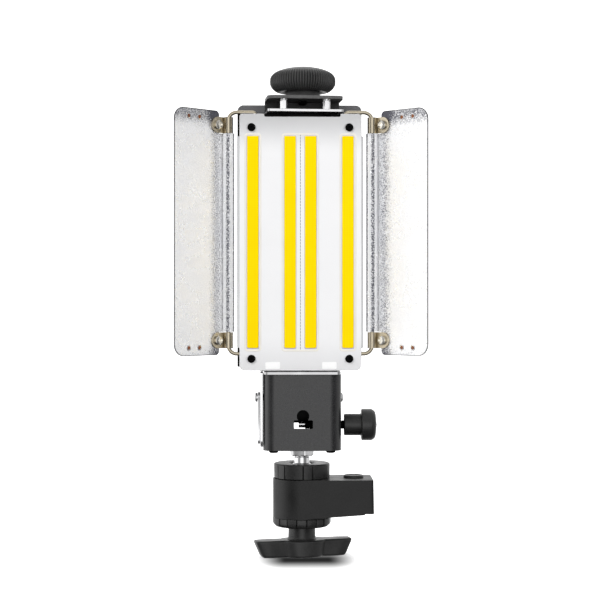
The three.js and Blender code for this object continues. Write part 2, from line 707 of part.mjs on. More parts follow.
function door(side) {
  const name = side < 0 ? 'left' : 'right';
  const group = new THREE.Group();
  group.position.set(HEAD_X + side * WIRE.x, WIRE.y, 0);
  group.rotation.z = -side * DOOR_ANGLE;
  group.scale.x = side;
  group.add(
    piece(`door_panel_${name}`, doorPanel(), FINISH.reflector),
    piece(`door_clip_${name}_top`, doorClip(CLIP.high), FINISH.nickel),
    piece(`door_clip_${name}_low`, doorClip(CLIP.low), FINISH.nickel),
    piece(`clip_bolt_${name}_top`, clipBolt(CLIP.high), FINISH.nickel),
    piece(`clip_bolt_${name}_low`, clipBolt(CLIP.low), FINISH.nickel),
  );
  return group;
}

const lamp = new THREE.Group();
lamp.add(ballHead(), mountBox(), lampHead(), topClamp(), door(-1), door(1));

export default lamp;
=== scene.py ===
"""Looks of a portable LED lamp on a ball head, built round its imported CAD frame.

Shapes are drawn in millimetres in the frame's own axes: +Z up, the lamp faces -Y, and the origin is
under the T-handle. They become metres when a mesh is made.
"""
import json
import math

import bmesh
import bpy
from mathutils import Matrix, Vector


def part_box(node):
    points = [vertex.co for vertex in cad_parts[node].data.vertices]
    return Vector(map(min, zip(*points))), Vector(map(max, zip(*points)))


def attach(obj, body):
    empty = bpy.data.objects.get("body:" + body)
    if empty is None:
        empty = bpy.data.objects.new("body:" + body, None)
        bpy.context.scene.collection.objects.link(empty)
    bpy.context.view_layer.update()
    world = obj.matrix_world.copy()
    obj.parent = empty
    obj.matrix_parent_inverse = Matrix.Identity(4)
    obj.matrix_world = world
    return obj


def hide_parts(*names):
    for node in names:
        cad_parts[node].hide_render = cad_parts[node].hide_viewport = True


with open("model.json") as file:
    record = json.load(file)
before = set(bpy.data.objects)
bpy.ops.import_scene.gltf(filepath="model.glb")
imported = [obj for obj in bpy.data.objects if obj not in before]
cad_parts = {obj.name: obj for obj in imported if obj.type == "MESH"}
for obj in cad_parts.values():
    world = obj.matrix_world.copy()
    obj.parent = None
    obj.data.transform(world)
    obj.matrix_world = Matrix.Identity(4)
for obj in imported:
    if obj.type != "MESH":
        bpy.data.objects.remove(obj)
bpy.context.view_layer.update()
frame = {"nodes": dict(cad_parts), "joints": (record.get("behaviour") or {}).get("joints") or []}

MM = 0.001
TURN = 2 * math.pi
QUARTER = math.pi / 2


def span(node):
    """A CAD node's box in millimetres: x0, x1, y0, y1, z0, z1."""
    low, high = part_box(node)
    return [value / MM for pair in zip(low, high) for value in pair]


def centre(node, *axes):
    """The middle of a CAD node's box along some of its axes."""
    box = span(node)
    return tuple((box[2 * axis] + box[2 * axis + 1]) / 2 for axis in axes)


def joint_at(name):
    """The place of a joint, in millimetres."""
    found = next(j for j in frame["joints"] if j["name"] == name)
    return Vector(found["pos_m"]) / MM


# ---- dimensions, from the frame
WING = {"x": 33.8, "top": 11.5, "slant": 5.2, "shift": 0.8, "turn": math.radians(13)}
RING = span("lock_ring")
BODY = span("clamp_body")
COLLAR = span("ball_collar")
CAP = span("arm_cap")
BALL_Z = joint_at("ball_tilt").z
BOX = span("mount_cover")
CHASSIS = span("mount_chassis")
BOARD = span("led_board")
SINK = span("heat_sink")
COVER = span("rear_cover")
STRAP = span("top_strap")
PLATE = span("clamp_plate")
KNOB = span("clamp_knob")
HINGE = joint_at("door_right_swing")
HEAD_X = (BOARD[0] + BOARD[1]) / 2
WIRE_X = HINGE.x - HEAD_X
WIRE_Y = HINGE.y
WIRE = {"r": 1.25, "top": 296.3, "low": 136.6, "bend": 5.4, "eye": 3.2, "hook": 3.0}
SCREW = {"x": 32.3, "top": 286.2, "low": 133.4}
DOOR = {"z0": 135.9, "z1": 297.0, "width": 45.0, "sheet": 0.8, "roll": 3.9, "low": 151.2, "high": 282.2}
CLIP = {"high": 287.7, "low": 145.6, "half": 5.25, "r": 3.0, "screw": 7.6}
DOOR_ANGLE = math.radians(45)
CLAMP = joint_at("clamp_knob_turn")
CLAMP_TURN = math.radians(4.6)
BOLT = (0, joint_at("side_latch_swing").z)
SIDE = (0, joint_at("side_knob_turn").z)


# ---- making solids
def make(name, verts, faces):
    mesh = bpy.data.meshes.new(name)
    mesh.from_pydata([Vector(v) * MM for v in verts], [], faces)
    work = bmesh.new()
    work.from_mesh(mesh)
    bmesh.ops.remove_doubles(work, verts=work.verts, dist=1e-7)
    bmesh.ops.recalc_face_normals(work, faces=work.faces)
    work.to_mesh(mesh)
    work.free()
    obj = bpy.data.objects.new(name, mesh)
    bpy.context.scene.collection.objects.link(obj)
    return obj


def facing(view, a, b, depth):
    """A point of a plan, a front view or a side view, at a depth along the view's third axis."""
    return {"plan": (a, b, depth), "front": (a, depth, b), "side": (depth, a, b)}[view]


def prism(name, outline, view, low, high):
    count = len(outline)
    verts = [facing(view, a, b, low) for a, b in outline] + [facing(view, a, b, high) for a, b in outline]
    faces = [tuple(range(count)), tuple(range(2 * count - 1, count - 1, -1))]
    for i in range(count):
        j = (i + 1) % count
        faces.append((i, j, count + j, count + i))
    return make(name, verts, faces)


def block(name, x0, x1, y0, y1, z0, z1):
    return prism(name, [(x0, y0), (x1, y0), (x1, y1), (x0, y1)], "plan", z0, z1)


def arc(a, b, r, start, end, steps=8):
    """Points on a circle, from one angle to another in degrees."""
    angles = [math.radians(start + (end - start) * k / steps) for k in range(steps + 1)]
    return [(a + r * math.cos(t), b + r * math.sin(t)) for t in angles]


def rounded(a0, a1, b0, b1, radii, steps=8):
    """A rectangle with a radius at each corner, from the lower left one round to the upper left."""
    low_left, low_right, up_right, up_left = radii
    return (
        arc(a0 + low_left, b0 + low_left, low_left, 180, 270, steps)
        + arc(a1 - low_right, b0 + low_right, low_right, 270, 360, steps)
        + arc(a1 - up_right, b1 - up_right, up_right, 0, 90, steps)
        + arc(a0 + up_left, b1 - up_left, up_left, 90, 180, steps)
    )


def skin(rows, ring=False):
    """The faces between closed rows of vertex numbers; a row of one number is a point."""
    faces = []
    pairs = list(zip(rows, rows[1:])) + ([(rows[-1], rows[0])] if ring else [])
    for lower, upper in pairs:
        count = max(len(lower), len(upper))
        for k in range(count):
            n = (k + 1) % count
            corners = [row[i % len(row)] for row, i in ((lower, k), (lower, n), (upper, n), (upper, k))]
            face = list(dict.fromkeys(corners))
            if len(face) > 2:
                faces.append(face)
    return faces


def turned(name, profile, axis="z", at=(0, 0), sides=64, reach=None, ring=False):
    """A profile of (radius, height) turned about an axis; reach(angle, r, h) may change a radius."""
    verts, rows = [], []
    for r, h in profile:
        row = []
        for k in range(1 if r == 0 else sides):
            angle = TURN * k / sides
            far = reach(angle, r, h) if reach else r
            a, b = at[0] + far * math.cos(angle), at[1] + far * math.sin(angle)
            row.append(len(verts))
            verts.append({"z": (a, b, h), "y": (a, h, b), "x": (h, a, b)}[axis])
        rows.append(row)
    return make(name, verts, skin(rows, ring))


def mirrored(points, low, high):
    """A profile with the same (radius, height above the end) points at both of its ends."""
    return [(r, low + h) for r, h in points] + [(r, high - h) for r, h in reversed(points)]


def bar(name, axis, r, low, high, at=(0, 0), sides=48):
    return turned(name, [(0, low), (r, low), (r, high), (0, high)], axis, at, sides)


def hex_reach(flats, turn=0.0):
    """Limits a radius to a hexagon of that width across flats."""
    def reach(angle, r, _h):
        off = (angle + turn) % (TURN / 6) - TURN / 12
        return min(r, flats / 2 / math.cos(off))
    return reach


def tube(name, points, r, sides=20):
    """A round wire along points, with rounded ends."""
    path = [Vector(p) for p in points]
    stations = []
    normal = Vector((0, 1, 0))
    for i, here in enumerate(path):
        along = (path[min(i + 1, len(path) - 1)] - path[max(i - 1, 0)]).normalized()
        normal = (normal - along * normal.dot(along)).normalized()
        stations.append((here, along, normal.copy()))
    ends = [(0.0, -0.3), (0.6, -0.24), (0.9, -0.1)]
    rings = [(stations[0], r * k, shift) for k, shift in ends]
    rings += [(s, r, 0.0) for s in stations]
    rings += [(stations[-1], r * k, -shift) for k, shift in reversed(ends)]
    verts, rows = [], []
    for (here, along, across), far, shift in rings:
        side = along.cross(across)
        row = []
        for k in range(1 if far == 0 else sides):
            angle = TURN * k / sides
            row.append(len(verts))
            out = across * math.cos(angle) + side * math.sin(angle)
            verts.append(here + along * shift * r * 2 + out * far)
        rows.append(row)
    return make(name, verts, skin(rows))


def thread(start, end, r, root, pitch, half):
    """A thread's profile: V grooves down to the root radius, each 2 * half wide."""
    points = []
    while start < end:
        points += [(r, start), (root, start + half), (r, start + 2 * half)]
        start += pitch
    return points


def m6_thread(low, high, r):
    """The profile of an M6 stud that ends with the radius r below and 2.6 mm on top."""
    grooves = thread(low + 0.4, high - 1, 3.0, 2.55, 1.0, 0.35)
    return [(0, low), (r, low)] + grooves + [(2.6, high), (0, high)]


def combine(obj, operation, tools):
    for tool in tools:
        step = obj.modifiers.new("step", "BOOLEAN")
        step.operation = operation
        step.object = tool
        step.solver = "EXACT"
    bpy.context.view_layer.update()
    made = bpy.data.meshes.new_from_object(obj.evaluated_get(bpy.context.evaluated_depsgraph_get()))
    obj.modifiers.clear()
    obj.data = made
    for tool in tools:
        bpy.data.objects.remove(tool)
    return obj


def carve(obj, *tools):
    return combine(obj, "DIFFERENCE", tools)


def fuse(obj, *tools):
    return combine(obj, "UNION", tools)


def gather(obj, *others):
    """One object of several loose solids, such as a row of dashes."""
    work = bmesh.new()
    for part in (obj, *others):
        work.from_mesh(part.data)
    work.to_mesh(obj.data)
    work.free()
    for part in others:
        bpy.data.objects.remove(part)
    return obj


def moved(obj, matrix):
    obj.data.transform(matrix)
    if matrix.determinant() < 0:
        obj.data.flip_normals()
    return obj


def dress(obj, coat, body, replaces=(), edge=0.0, steps=2):
    """Gives a piece its smooth faces, softened edges, finish and body."""
    paint(obj, coat)
    soften(obj, edge, steps)
    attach(obj, body)
    if replaces:
        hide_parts(*replaces)


def paint(obj, coat):
    obj.data.materials.clear()
    obj.data.materials.append(coat)


def soften(obj, edge, steps=2):
    for face in obj.data.polygons:
        face.use_smooth = True
    obj.data.set_sharp_from_angle(angle=math.radians(38))
    if edge:
        bevel = obj.modifiers.new("edges", "BEVEL")
        bevel.width = edge * MM
        bevel.segments = steps
        bevel.limit_method = "ANGLE"
        bevel.angle_limit = math.radians(42)
    weigh = obj.modifiers.new("normals", "WEIGHTED_NORMAL")
    weigh.keep_sharp = True


def keep(node, coat, edge=0.15):
    """A CAD node that stays, with a better finish."""
    obj = frame["nodes"][node]
    paint(obj, coat)
    soften(obj, edge)


# ---- materials
def grey(level):
    return (level, level, level)


def maths(tree, operation, a, b=None, kind="ShaderNodeMath"):
    """The output of a new maths node, whose inputs are sockets or values."""
    step = tree.nodes.new(kind)
    step.operation = operation
    for socket, value in zip(step.inputs, (a, b)):
        if isinstance(value, bpy.types.NodeSocket):
            tree.links.new(value, socket)
        elif value is not None:
            socket.default_value = value
    return step.outputs["Value"] if operation == "LENGTH" else step.outputs[0]


def ease(tree, value, start, end, low, high, shape="SMOOTHSTEP"):
    """A socket that goes from low to high while the value goes from start to end."""
    step = tree.nodes.new("ShaderNodeMapRange")
    step.interpolation_type = shape
    for name, number in (("From Min", start), ("From Max", end), ("To Min", low), ("To Max", high)):
        step.inputs[name].default_value = number
    tree.links.new(value, step.inputs["Value"])
    return step.outputs["Result"]


def where(tree):
    """The socket of a point's coordinates, in metres in the piece's own axes."""
    found = tree.nodes.get("Texture Coordinate") or tree.nodes.new("ShaderNodeTexCoord")
    return found.outputs["Object"]


def split(tree, vector):
    parts = tree.nodes.new("ShaderNodeSeparateXYZ")
    tree.links.new(vector, parts.inputs["Vector"])
    return parts.outputs


def outside(tree, middle, half, scale=(1, 1, 1)):
    """A socket that says how far a point lies outside a box, in mm; scale stretches the distances."""
    value = where(tree)
    for operation, other in (
        ("SUBTRACT", [c * MM for c in middle]),
        ("MULTIPLY", [f / MM for f in scale]),
        ("ABSOLUTE", None),
        ("SUBTRACT", [h * f for h, f in zip(half, scale)]),
        ("MAXIMUM", (0, 0, 0)),
        ("LENGTH", None),
    ):
        value = maths(tree, operation, value, other, "ShaderNodeVectorMath")
    return value


def material(name, colour, rough, metal=0.0, spread=0.0, grain=0.5, bump=0.0, rough_spread=0.0,
             stretch=(1, 1, 1), shine=0.5, facets=False, slot=None):
    """A procedural finish whose colour, roughness and height vary.

    spread is how far the colour wanders, grain the size in mm of the fine texture and bump its height
    in mm; stretch scales the texture's axes, shine is the specular level, facets makes the texture
    hammered, and slot is the record's name for the material, if it isn't the finish's own.
    """
    made = bpy.data.materials.new(name)
    made["slot"] = slot or name
    made.use_nodes = True
    tree = made.node_tree
    nodes, links = tree.nodes, tree.links
    shader = nodes["Principled BSDF"]
    shader.inputs["Metallic"].default_value = metal
    shader.inputs["Specular IOR Level"].default_value = shine
    mapping = nodes.new("ShaderNodeMapping")
    mapping.inputs["Scale"].default_value = stretch
    links.new(where(tree), mapping.inputs["Vector"])

    wander = nodes.new("ShaderNodeTexNoise")
    wander.inputs["Scale"].default_value = 70
    wander.inputs["Detail"].default_value = 4
    fine = nodes.new("ShaderNodeTexVoronoi" if facets else "ShaderNodeTexNoise")
    fine.inputs["Scale"].default_value = 1 / (grain * MM)
    height = fine.outputs["Distance" if facets else "Fac"]
    for texture in (wander, fine):
        links.new(mapping.outputs["Vector"], texture.inputs["Vector"])

    both = maths(tree, "ADD", wander.outputs["Fac"], height)
    ramp = nodes.new("ShaderNodeValToRGB")
    for element, at, share in zip(ramp.color_ramp.elements, (0.36, 0.64), (1 - spread, 1 + spread)):
        element.position = at
        element.color = [min(1.0, c * share) for c in colour] + [1]
    links.new(maths(tree, "MULTIPLY", both, 0.5), ramp.inputs["Fac"])
    links.new(ramp.outputs["Color"], shader.inputs["Base Color"])

    low, high = rough - rough_spread, rough + rough_spread
    uneven = ease(tree, wander.outputs["Fac"], 0.35, 0.65, low, high, "LINEAR")
    links.new(uneven, shader.inputs["Roughness"])

    raised = nodes.new("ShaderNodeBump")
    raised.inputs["Distance"].default_value = bump * MM
    links.new(height, raised.inputs["Height"])
    links.new(raised.outputs["Normal"], shader.inputs["Normal"])
    return made


def tint(made, factor, colour):
    """Multiplies a finish's colour by another one, as far as a factor socket says."""
    nodes, links = made.node_tree.nodes, made.node_tree.links
    base = nodes["Principled BSDF"].inputs["Base Color"]
    mix = nodes.new("ShaderNodeMix")
    mix.data_type = "RGBA"
    mix.blend_type = "MULTIPLY"
    links.new(factor, mix.inputs["Factor"])
    links.new(base.links[0].from_socket, mix.inputs["A"])
    mix.inputs["B"].default_value = colour + (1,)
    links.new(mix.outputs["Result"], base)


def painted_shade_band(made, unshaded_at, shaded_at, strength):
    """Paints shade into a finish between two heights in mm: none at the first height, all at the second."""
    tree = made.node_tree
    height = split(tree, where(tree))["Z"]
    tint(made, ease(tree, height, unshaded_at * MM, shaded_at * MM, 0.0, strength), grey(0.0))


def door_edge_shade(made):
    """A painted dark line round the front of a door: painted shade where its cut edge turns away."""
    tree = made.node_tree
    lean = math.cos(DOOR_ANGLE)
    corner, line = 8.0, 0.5
    middle = (HEAD_X, 0, (DOOR["z0"] + DOOR["z1"]) / 2)
    half_x = WIRE_X + lean * (DOOR["width"] + DOOR["roll"] - DOOR["sheet"] - corner)
    half_z = (DOOR["z1"] - DOOR["z0"]) / 2 - corner
    far = outside(tree, middle, (half_x, 1000, half_z), (1 / lean, 1, 1))
    tint(made, maths(tree, "GREATER_THAN", far, corner - line), grey(0.22))


def door_shading(made):
    """Painted shade by the hinge, on the roll's inner side and at the ends of a door, and a painted dark
    reflection streak along the roll, all broken into dark speckles.
    """
    tree = made.node_tree
    x, _y, z = split(tree, where(tree))
    aside = maths(tree, "ABSOLUTE", maths(tree, "SUBTRACT", x, HEAD_X * MM))
    from_hinge = maths(tree, "ABSOLUTE", maths(tree, "SUBTRACT", aside, (WIRE_X + 8) * MM))
    # Painted dark reflection: a streak along the roll.
    from_dark_reflection = maths(tree, "ABSOLUTE", maths(tree, "SUBTRACT", aside, (WIRE_X + 0.3) * MM))
    dark = 0.0
    for value, unshaded_at, full, strength in (
        (from_hinge, 7.5, 0.0, 0.60),
        (from_dark_reflection, 2.1, 0.4, 0.85),
        (aside, WIRE_X - 2.4, WIRE_X - 3.4, 0.70),
        (z, DOOR["z1"] - 16, DOOR["z1"] - 3, 0.75),
        (z, DOOR["z0"] + 8, DOOR["z0"], 0.35),
    ):
        dark = maths(tree, "ADD", ease(tree, value, unshaded_at * MM, full * MM, 0.0, strength), dark)
    speck = tree.nodes.new("ShaderNodeTexNoise")
    speck.inputs["Scale"].default_value = 1 / (0.8 * MM)
    speck.inputs["Detail"].default_value = 2
    tree.links.new(where(tree), speck.inputs["Vector"])
    spotted = maths(tree, "ADD", dark, maths(tree, "MULTIPLY", speck.outputs["Fac"], 1.8))
    shade = maths(tree, "MULTIPLY", maths(tree, "SUBTRACT", spotted, 1.24), 1.6)
    shade = maths(tree, "MINIMUM", maths(tree, "MAXIMUM", shade, 0.0), 1.0)
    tint(made, shade, (0.10, 0.10, 0.12))


def shaded_inside(made):
    """No light reaches the inside of the box."""
    tree = made.node_tree
    low, high = CHASSIS[4] + 1.0, CHASSIS[5] - 1.8
    far = outside(tree, (0, -20, (low + high) / 2), (24.0, CHASSIS[3] + 19.0, (high - low) / 2))
    tint(made, maths(tree, "LESS_THAN", far, 0.01), grey(0.01))


def phosphor_rows(made):
    """A faint grid, where rows of tiny dies show through the gel."""
    tree = made.node_tree
    for direction, pitch, strength in (("Z", 1.5, 0.10), ("X", 1.9, 0.16)):
        rows = tree.nodes.new("ShaderNodeTexWave")
        rows.wave_type = "BANDS"
        rows.bands_direction = direction
        rows.inputs["Scale"].default_value = TURN / 20 / (pitch * MM)
        tree.links.new(where(tree), rows.inputs["Vector"])
        tint(made, maths(tree, "MULTIPLY", rows.outputs["Fac"], strength), (0.95, 0.72, 0.3))


BOARD_WHITE = material("board_white", (0.82, 0.82, 0.83), 0.45, spread=0.012, grain=0.7, bump=0.01,
                       rough_spread=0.06, shine=0.3)
# Painted shade: the board darkens towards its top, under the clamp, and a little towards its bottom.
painted_shade_band(BOARD_WHITE, 268, 297, 0.38)
painted_shade_band(BOARD_WHITE, 150, 122, 0.16)
PHOSPHOR = material("phosphor", (1.0, 0.70, 0.0), 0.5, spread=0.03, grain=0.6, bump=0.03, shine=0.05)
phosphor_rows(PHOSPHOR)
BLACK_STEEL = material("black_steel", grey(0.002), 0.5, spread=0.4, grain=0.4, bump=0.01, shine=0.05)
BLACK_PAINT = material("black_paint", (0.013, 0.013, 0.014), 0.25, spread=0.6, grain=0.7, bump=0.05,
                       rough_spread=0.04, shine=0.62)
# A lighter copy of the black paint for the clamp plate: painted light, as its top-lit faces read lighter;
# below its top, painted shade in the gap over the strap.
LIT_BLACK_PAINT = material("lit_black_paint", grey(0.075), 0.42, spread=0.4, grain=0.7, bump=0.05, rough_spread=0.06,
                      slot="black_paint")
painted_shade_band(LIT_BLACK_PAINT, PLATE[5] - 1.7, PLATE[5] - 2.7, 0.9)
CAST_BLACK = material("cast_black", grey(0.009), 0.40, spread=0.5, grain=0.75, bump=0.05,
                      rough_spread=0.06, shine=0.36)
BLACK_ANODISED = material("black_anodised", grey(0.006), 0.5, spread=0.4, grain=0.5, bump=0.01,
                          shine=0.15)
# A lighter copy of the black plastic for the top knob: painted light, so the ribbed knob reads as bright as
# it looks under the top light.
LIT_KNOB_PLASTIC = material("lit_knob_plastic", grey(0.034), 0.36, spread=0.4, grain=0.55, bump=0.03,
                        rough_spread=0.06, slot="black_plastic")
BLACK_PLASTIC = material("black_plastic", grey(0.015), 0.36, spread=0.5, grain=0.6, bump=0.04,
                         rough_spread=0.06)
GREY_SHELL = material("grey_shell", (0.11, 0.11, 0.115), 0.45, spread=0.15, grain=0.6, bump=0.03,
                      rough_spread=0.06)
# A darker copy of the bright steel for the LED carrier: painted shade on its edges, which show beside the
# board.
SHADED_TRAY_STEEL = material("shaded_tray_steel", (0.55, 0.55, 0.56), 0.30, 1.0, spread=0.05, grain=0.4, bump=0.002,
                      rough_spread=0.06, stretch=(1, 1, 0.1), slot="bright_steel")
BRIGHT_STEEL = material("bright_steel", (0.84, 0.84, 0.85), 0.24, 1.0, spread=0.03, grain=0.4, bump=0.002,
                        rough_spread=0.06, stretch=(1, 1, 0.1))
# A darker copy of the bright steel for the chassis inside the box: painted shade, with deeper painted shade
# on its inside.
SHADED_CHASSIS_STEEL = material("shaded_chassis_steel", (0.62, 0.62, 0.63), 0.30, 1.0, spread=0.03, grain=0.4,
                         bump=0.002, rough_spread=0.06, slot="bright_steel")
shaded_inside(SHADED_CHASSIS_STEEL)
CHROME = material("chrome", (0.93, 0.93, 0.94), 0.12, 1.0, spread=0.02, grain=1.0, bump=0.002,
                  rough_spread=0.03)
NICKEL = material("nickel", (0.62, 0.55, 0.42), 0.30, 1.0, spread=0.20, grain=0.6, bump=0.01,
                  rough_spread=0.08)
SCREW_NICKEL = material("screw_nickel", (0.86, 0.83, 0.76), 0.16, 1.0, spread=0.10, grain=0.6, bump=0.01,
                        rough_spread=0.05, slot="nickel")
REFLECTOR = material("reflector", (0.96, 0.97, 1.0), 0.25, 0.45, spread=0.06, grain=0.8, bump=0.09,
                     rough_spread=0.06, facets=True)
# The doors get painted shade, a painted dark reflection along each roll and a painted dark edge line.
door_shading(REFLECTOR)
door_edge_shade(REFLECTOR)
CIRCUIT = material("circuit", (0.02, 0.16, 0.06), 0.35, spread=0.15, grain=0.5, bump=0.02)
PAD_WHITE = material("pad_white", grey(0.90), 0.25, spread=0.01, grain=0.8, bump=0.02, slot="board_white")
DAM_CREAM = material("dam_cream", (0.78, 0.75, 0.69), 0.35, spread=0.03, bump=0.02, slot="board_white")
DAM_GREY = material("dam_grey", (0.50, 0.49, 0.56), 0.40, spread=0.05, bump=0.01, slot="board_white")
INK = material("ink", (0.10, 0.10, 0.12), 0.50, spread=0.2, bump=0.004, slot="board_white")
COPPER = material("copper", (0.36, 0.14, 0.07), 0.45, 0.8, spread=0.3, bump=0.01, rough_spread=0.1,
                  slot="nickel")


# ---- ball head
def t_handle():
    """A wing lofted from one tip to the other round a wider hub, with a stem."""
    height = WING["top"]

    def half_width(x):
        hub = max(0.0, 1 - (abs(x) / 14) ** 2.4)
        tip = max(0.0, (abs(x) - 24) / 9.5)
        return 6.7 + 5.2 * hub ** 0.8 - 1.9 * tip ** 2

    places = [-1.0, -0.985, -0.96] + [k / 24 for k in range(-22, 23)] + [0.96, 0.985, 1.0]
    verts, rows = [], []
    for place in places:
        inset = {1.0: 1.3, 0.985: 0.45}.get(abs(place), 0.0)
        wide = half_width(place * WING["x"]) - inset
        section = rounded(-wide, wide, inset, height - inset, [1.6] * 4, 4)
        row = []
        for y, z in section:
            reach = WING["x"] - WING["slant"] * (1 - z / height)
            row.append(len(verts))
            verts.append((place * reach + WING["shift"], y, z))
        rows.append(row)
    tips = [rows[0], rows[-1][::-1]]
    wing = make("t_handle_wing", verts, tips + skin(rows))
    stem = turned("stem", [
        (0, height - 2), (10.4, height - 2), (10.0, height + 0.1), (9.35, height + 0.8),
        (9.15, height + 1.8), (8.85, 23.4), (8.4, 24), (0, 24),
    ])
    wing = fuse(wing, stem)
    carve(wing, bar("bore", "z", 4.4, 5.7, 30))
    moved(wing, Matrix.Rotation(WING["turn"], 4, "Z"))
    dress(wing, BLACK_PLASTIC, "t_handle", ["t_handle"])


def scallops(count, ridge, first, depth, line, fade=None):
    """Shallow finger grips between ridges, with a dark line at each ridge's foot.

    ridge is a ridge's width and first its middle from the front, in degrees; depth is the grip's
    and line the line's, in mm; above the height `fade` both run out.
    """
    pitch = TURN / count
    half = math.radians(ridge) / 2
    narrow = math.radians(2.4)

    def reach(angle, r, h):
        if r < 14:
            return r
        off = abs((angle + QUARTER - math.radians(first) + pitch / 2) % pitch - pitch / 2)
        share = 1.0 if fade is None else max(0.0, min(1.0, (fade - h) / 0.8))
        if off <= half:
            return r
        if off < half + narrow:
            return r - share * line * math.sin(math.pi * (off - half) / narrow) ** 0.6
        across = (off - half - narrow) / (pitch / 2 - half - narrow)
        return r - share * depth * math.sin(across * QUARTER) ** 0.5
    return reach


def ball_collar():
    z0, z1 = COLLAR[4:]
    r = COLLAR[1]
    hollow = 9.3
    heights = (z0, 54, 55.5, BALL_Z, 58.5, 60, 61, 61.8)
    inner = [(math.sqrt(hollow ** 2 - (z - BALL_Z) ** 2), z) for z in heights]
    rim = [(8.5, 62.2), (9.6, z1), (r - 1.1, z1), (r - 0.45, z1 - 0.25), (r - 0.1, z1 - 0.7), (r, z1 - 1.2)]
    outer = [(r, z0 + 0.5), (r - 0.35, z0)]
    grip = scallops(6, 17, 11.5, 0.55, 1.3, z1 - 0.9)
    collar = turned("ball_collar_grip", inner + rim + outer, sides=360, reach=grip, ring=True)
    dress(collar, BLACK_PLASTIC, "ball_collar", ["ball_collar"])


def lock_ring():
    z0, z1 = RING[4:]
    r = RING[1]
    profile = [
        (9.5, z0), (r - 3.4, z0), (r - 1.6, z0 + 0.5), (r - 0.6, z0 + 1.3), (r - 0.15, z0 + 2.3),
        (r, z0 + 3.4), (r, z1 - 0.4), (r - 0.3, z1), (9.5, z1),
    ]
    grip = scallops(9, 17, 18.5, 0.5, 0.9)
    ring = turned("lock_ring_grip", profile, sides=360, reach=grip, ring=True)
    dress(ring, BLACK_PLASTIC, "lock_ring", ["lock_ring"])


def clamp_body():
    z0, top = BODY[4:]
    r = -BODY[0]
    drum = bar("clamp_body_casting", "z", r, z0, 52.6, sides=128)
    end, front = BODY[1], -r
    side = [(0, 26.9), (41.0, 29.7), (41.8, 30.4), (end, 30.4), (end - 0.5, top), (0, top)]
    arm = prism("arm", side, "front", front, 15.0)
    plan = rounded(-40, end, front, 15.0, [1, 2.2, 2.2, 1])
    arm = combine(arm, "INTERSECT", [prism("plan", plan, "plan", 0, 80)])
    body = fuse(drum, arm)
    carve(
        body,
        bar("bore", "z", 9.5, 38.7, 70),
        bar("thread", "z", 4.3, 20, 39),
        bar("socket", "z", 8.1, 20, 48, (33.5, -1.0)),
    )
    dress(body, CAST_BLACK, "base", ["clamp_body"], edge=0.7, steps=3)
    r, z0, z1 = (CAP[1] - CAP[0]) / 2, CAP[4], CAP[5]
    cap = turned("arm_cap_disc", [
        (0, z0), (r, z0), (r, z1 - 0.5), (r - 0.45, z1), (r - 1.3, z1), (r - 1.6, z1 - 0.35),
        (0, z1 - 0.35),
    ], at=centre("arm_cap", 0, 1))
    dress(cap, BLACK_PLASTIC, "base", ["arm_cap"])


def ball_and_stud():
    r = 9.0
    sphere = [(r * math.sin(t), BALL_Z - r * math.cos(t)) for t in [math.pi * k / 40 for k in range(25)]]
    neck = [(7.6, 61.5), (6.6, 61.9), (5.6, 62.4), (5.3, 63.0), (5.25, 66.4), (4.75, 66.9)]
    end = thread(67.2, 81, 4.75, 4.3, 1.2, 0.4) + [(4.1, 82), (0, 82)]
    stud = turned("ball_with_stud", sphere + neck + end)
    dress(stud, CHROME, "stud", ["ball", "ball_stud"])
    nut("jam_nut", "lock_nut", 14.3, 4.95, BRIGHT_STEEL, "stud")
    nut("inner_hex_nut", "inner_nut", 14.3, 4.95, BRIGHT_STEEL, "stud")


def nut(name, node, flats, bore, finish, body):
    """A hexagon nut along Z, with chamfered corners."""
    z0, z1 = span(node)[4:]
    corner = flats / 2 / math.cos(math.radians(30))
    profile = mirrored([(bore, 0), (bore + 0.5, 0), (flats / 2 - 0.1, 0), (corner, 0.75)], z0, z1)
    reach = hex_reach(flats, math.radians(16))
    made = turned(name, profile, at=centre(node, 0, 1), sides=120, reach=reach, ring=True)
    dress(made, finish, body, [node])


# ---- mounting box
def mount_cover():
    half, front, back, z0, z1 = BOX[1:]
    wall, corner = 1.5, 8.0
    inner = corner - wall
    x, y = half - corner, front + corner
    outline = [(-half, back)] + arc(-x, y, corner, 180, 270, 14)
    outline += arc(x, y, corner, 270, 360, 14) + [(half, back), (half - wall, back)]
    outline += arc(x, y, inner, 360, 270, 14) + arc(-x, y, inner, 270, 180, 14) + [(wall - half, back)]
    cover = prism("mount_cover_sheet", outline, "plan", z0, z1)
    slot = rounded(-5.6, 6.9, 86.9, 92.5, [0.7] * 4, 4)
    carve(
        cover,
        bar("round", "y", 4.1, front - 2, front + 3, (0.4, 95.2)),
        prism("slot", slot, "front", front - 2, front + 3),
        bar("bolt", "x", 2.3, -half - 2, half + 2, BOLT),
        bar("side", "x", 3.3, half - 3, half + 2, SIDE),
    )
    dress(cover, BLACK_PAINT, "head", ["mount_cover"], edge=0.4, steps=3)


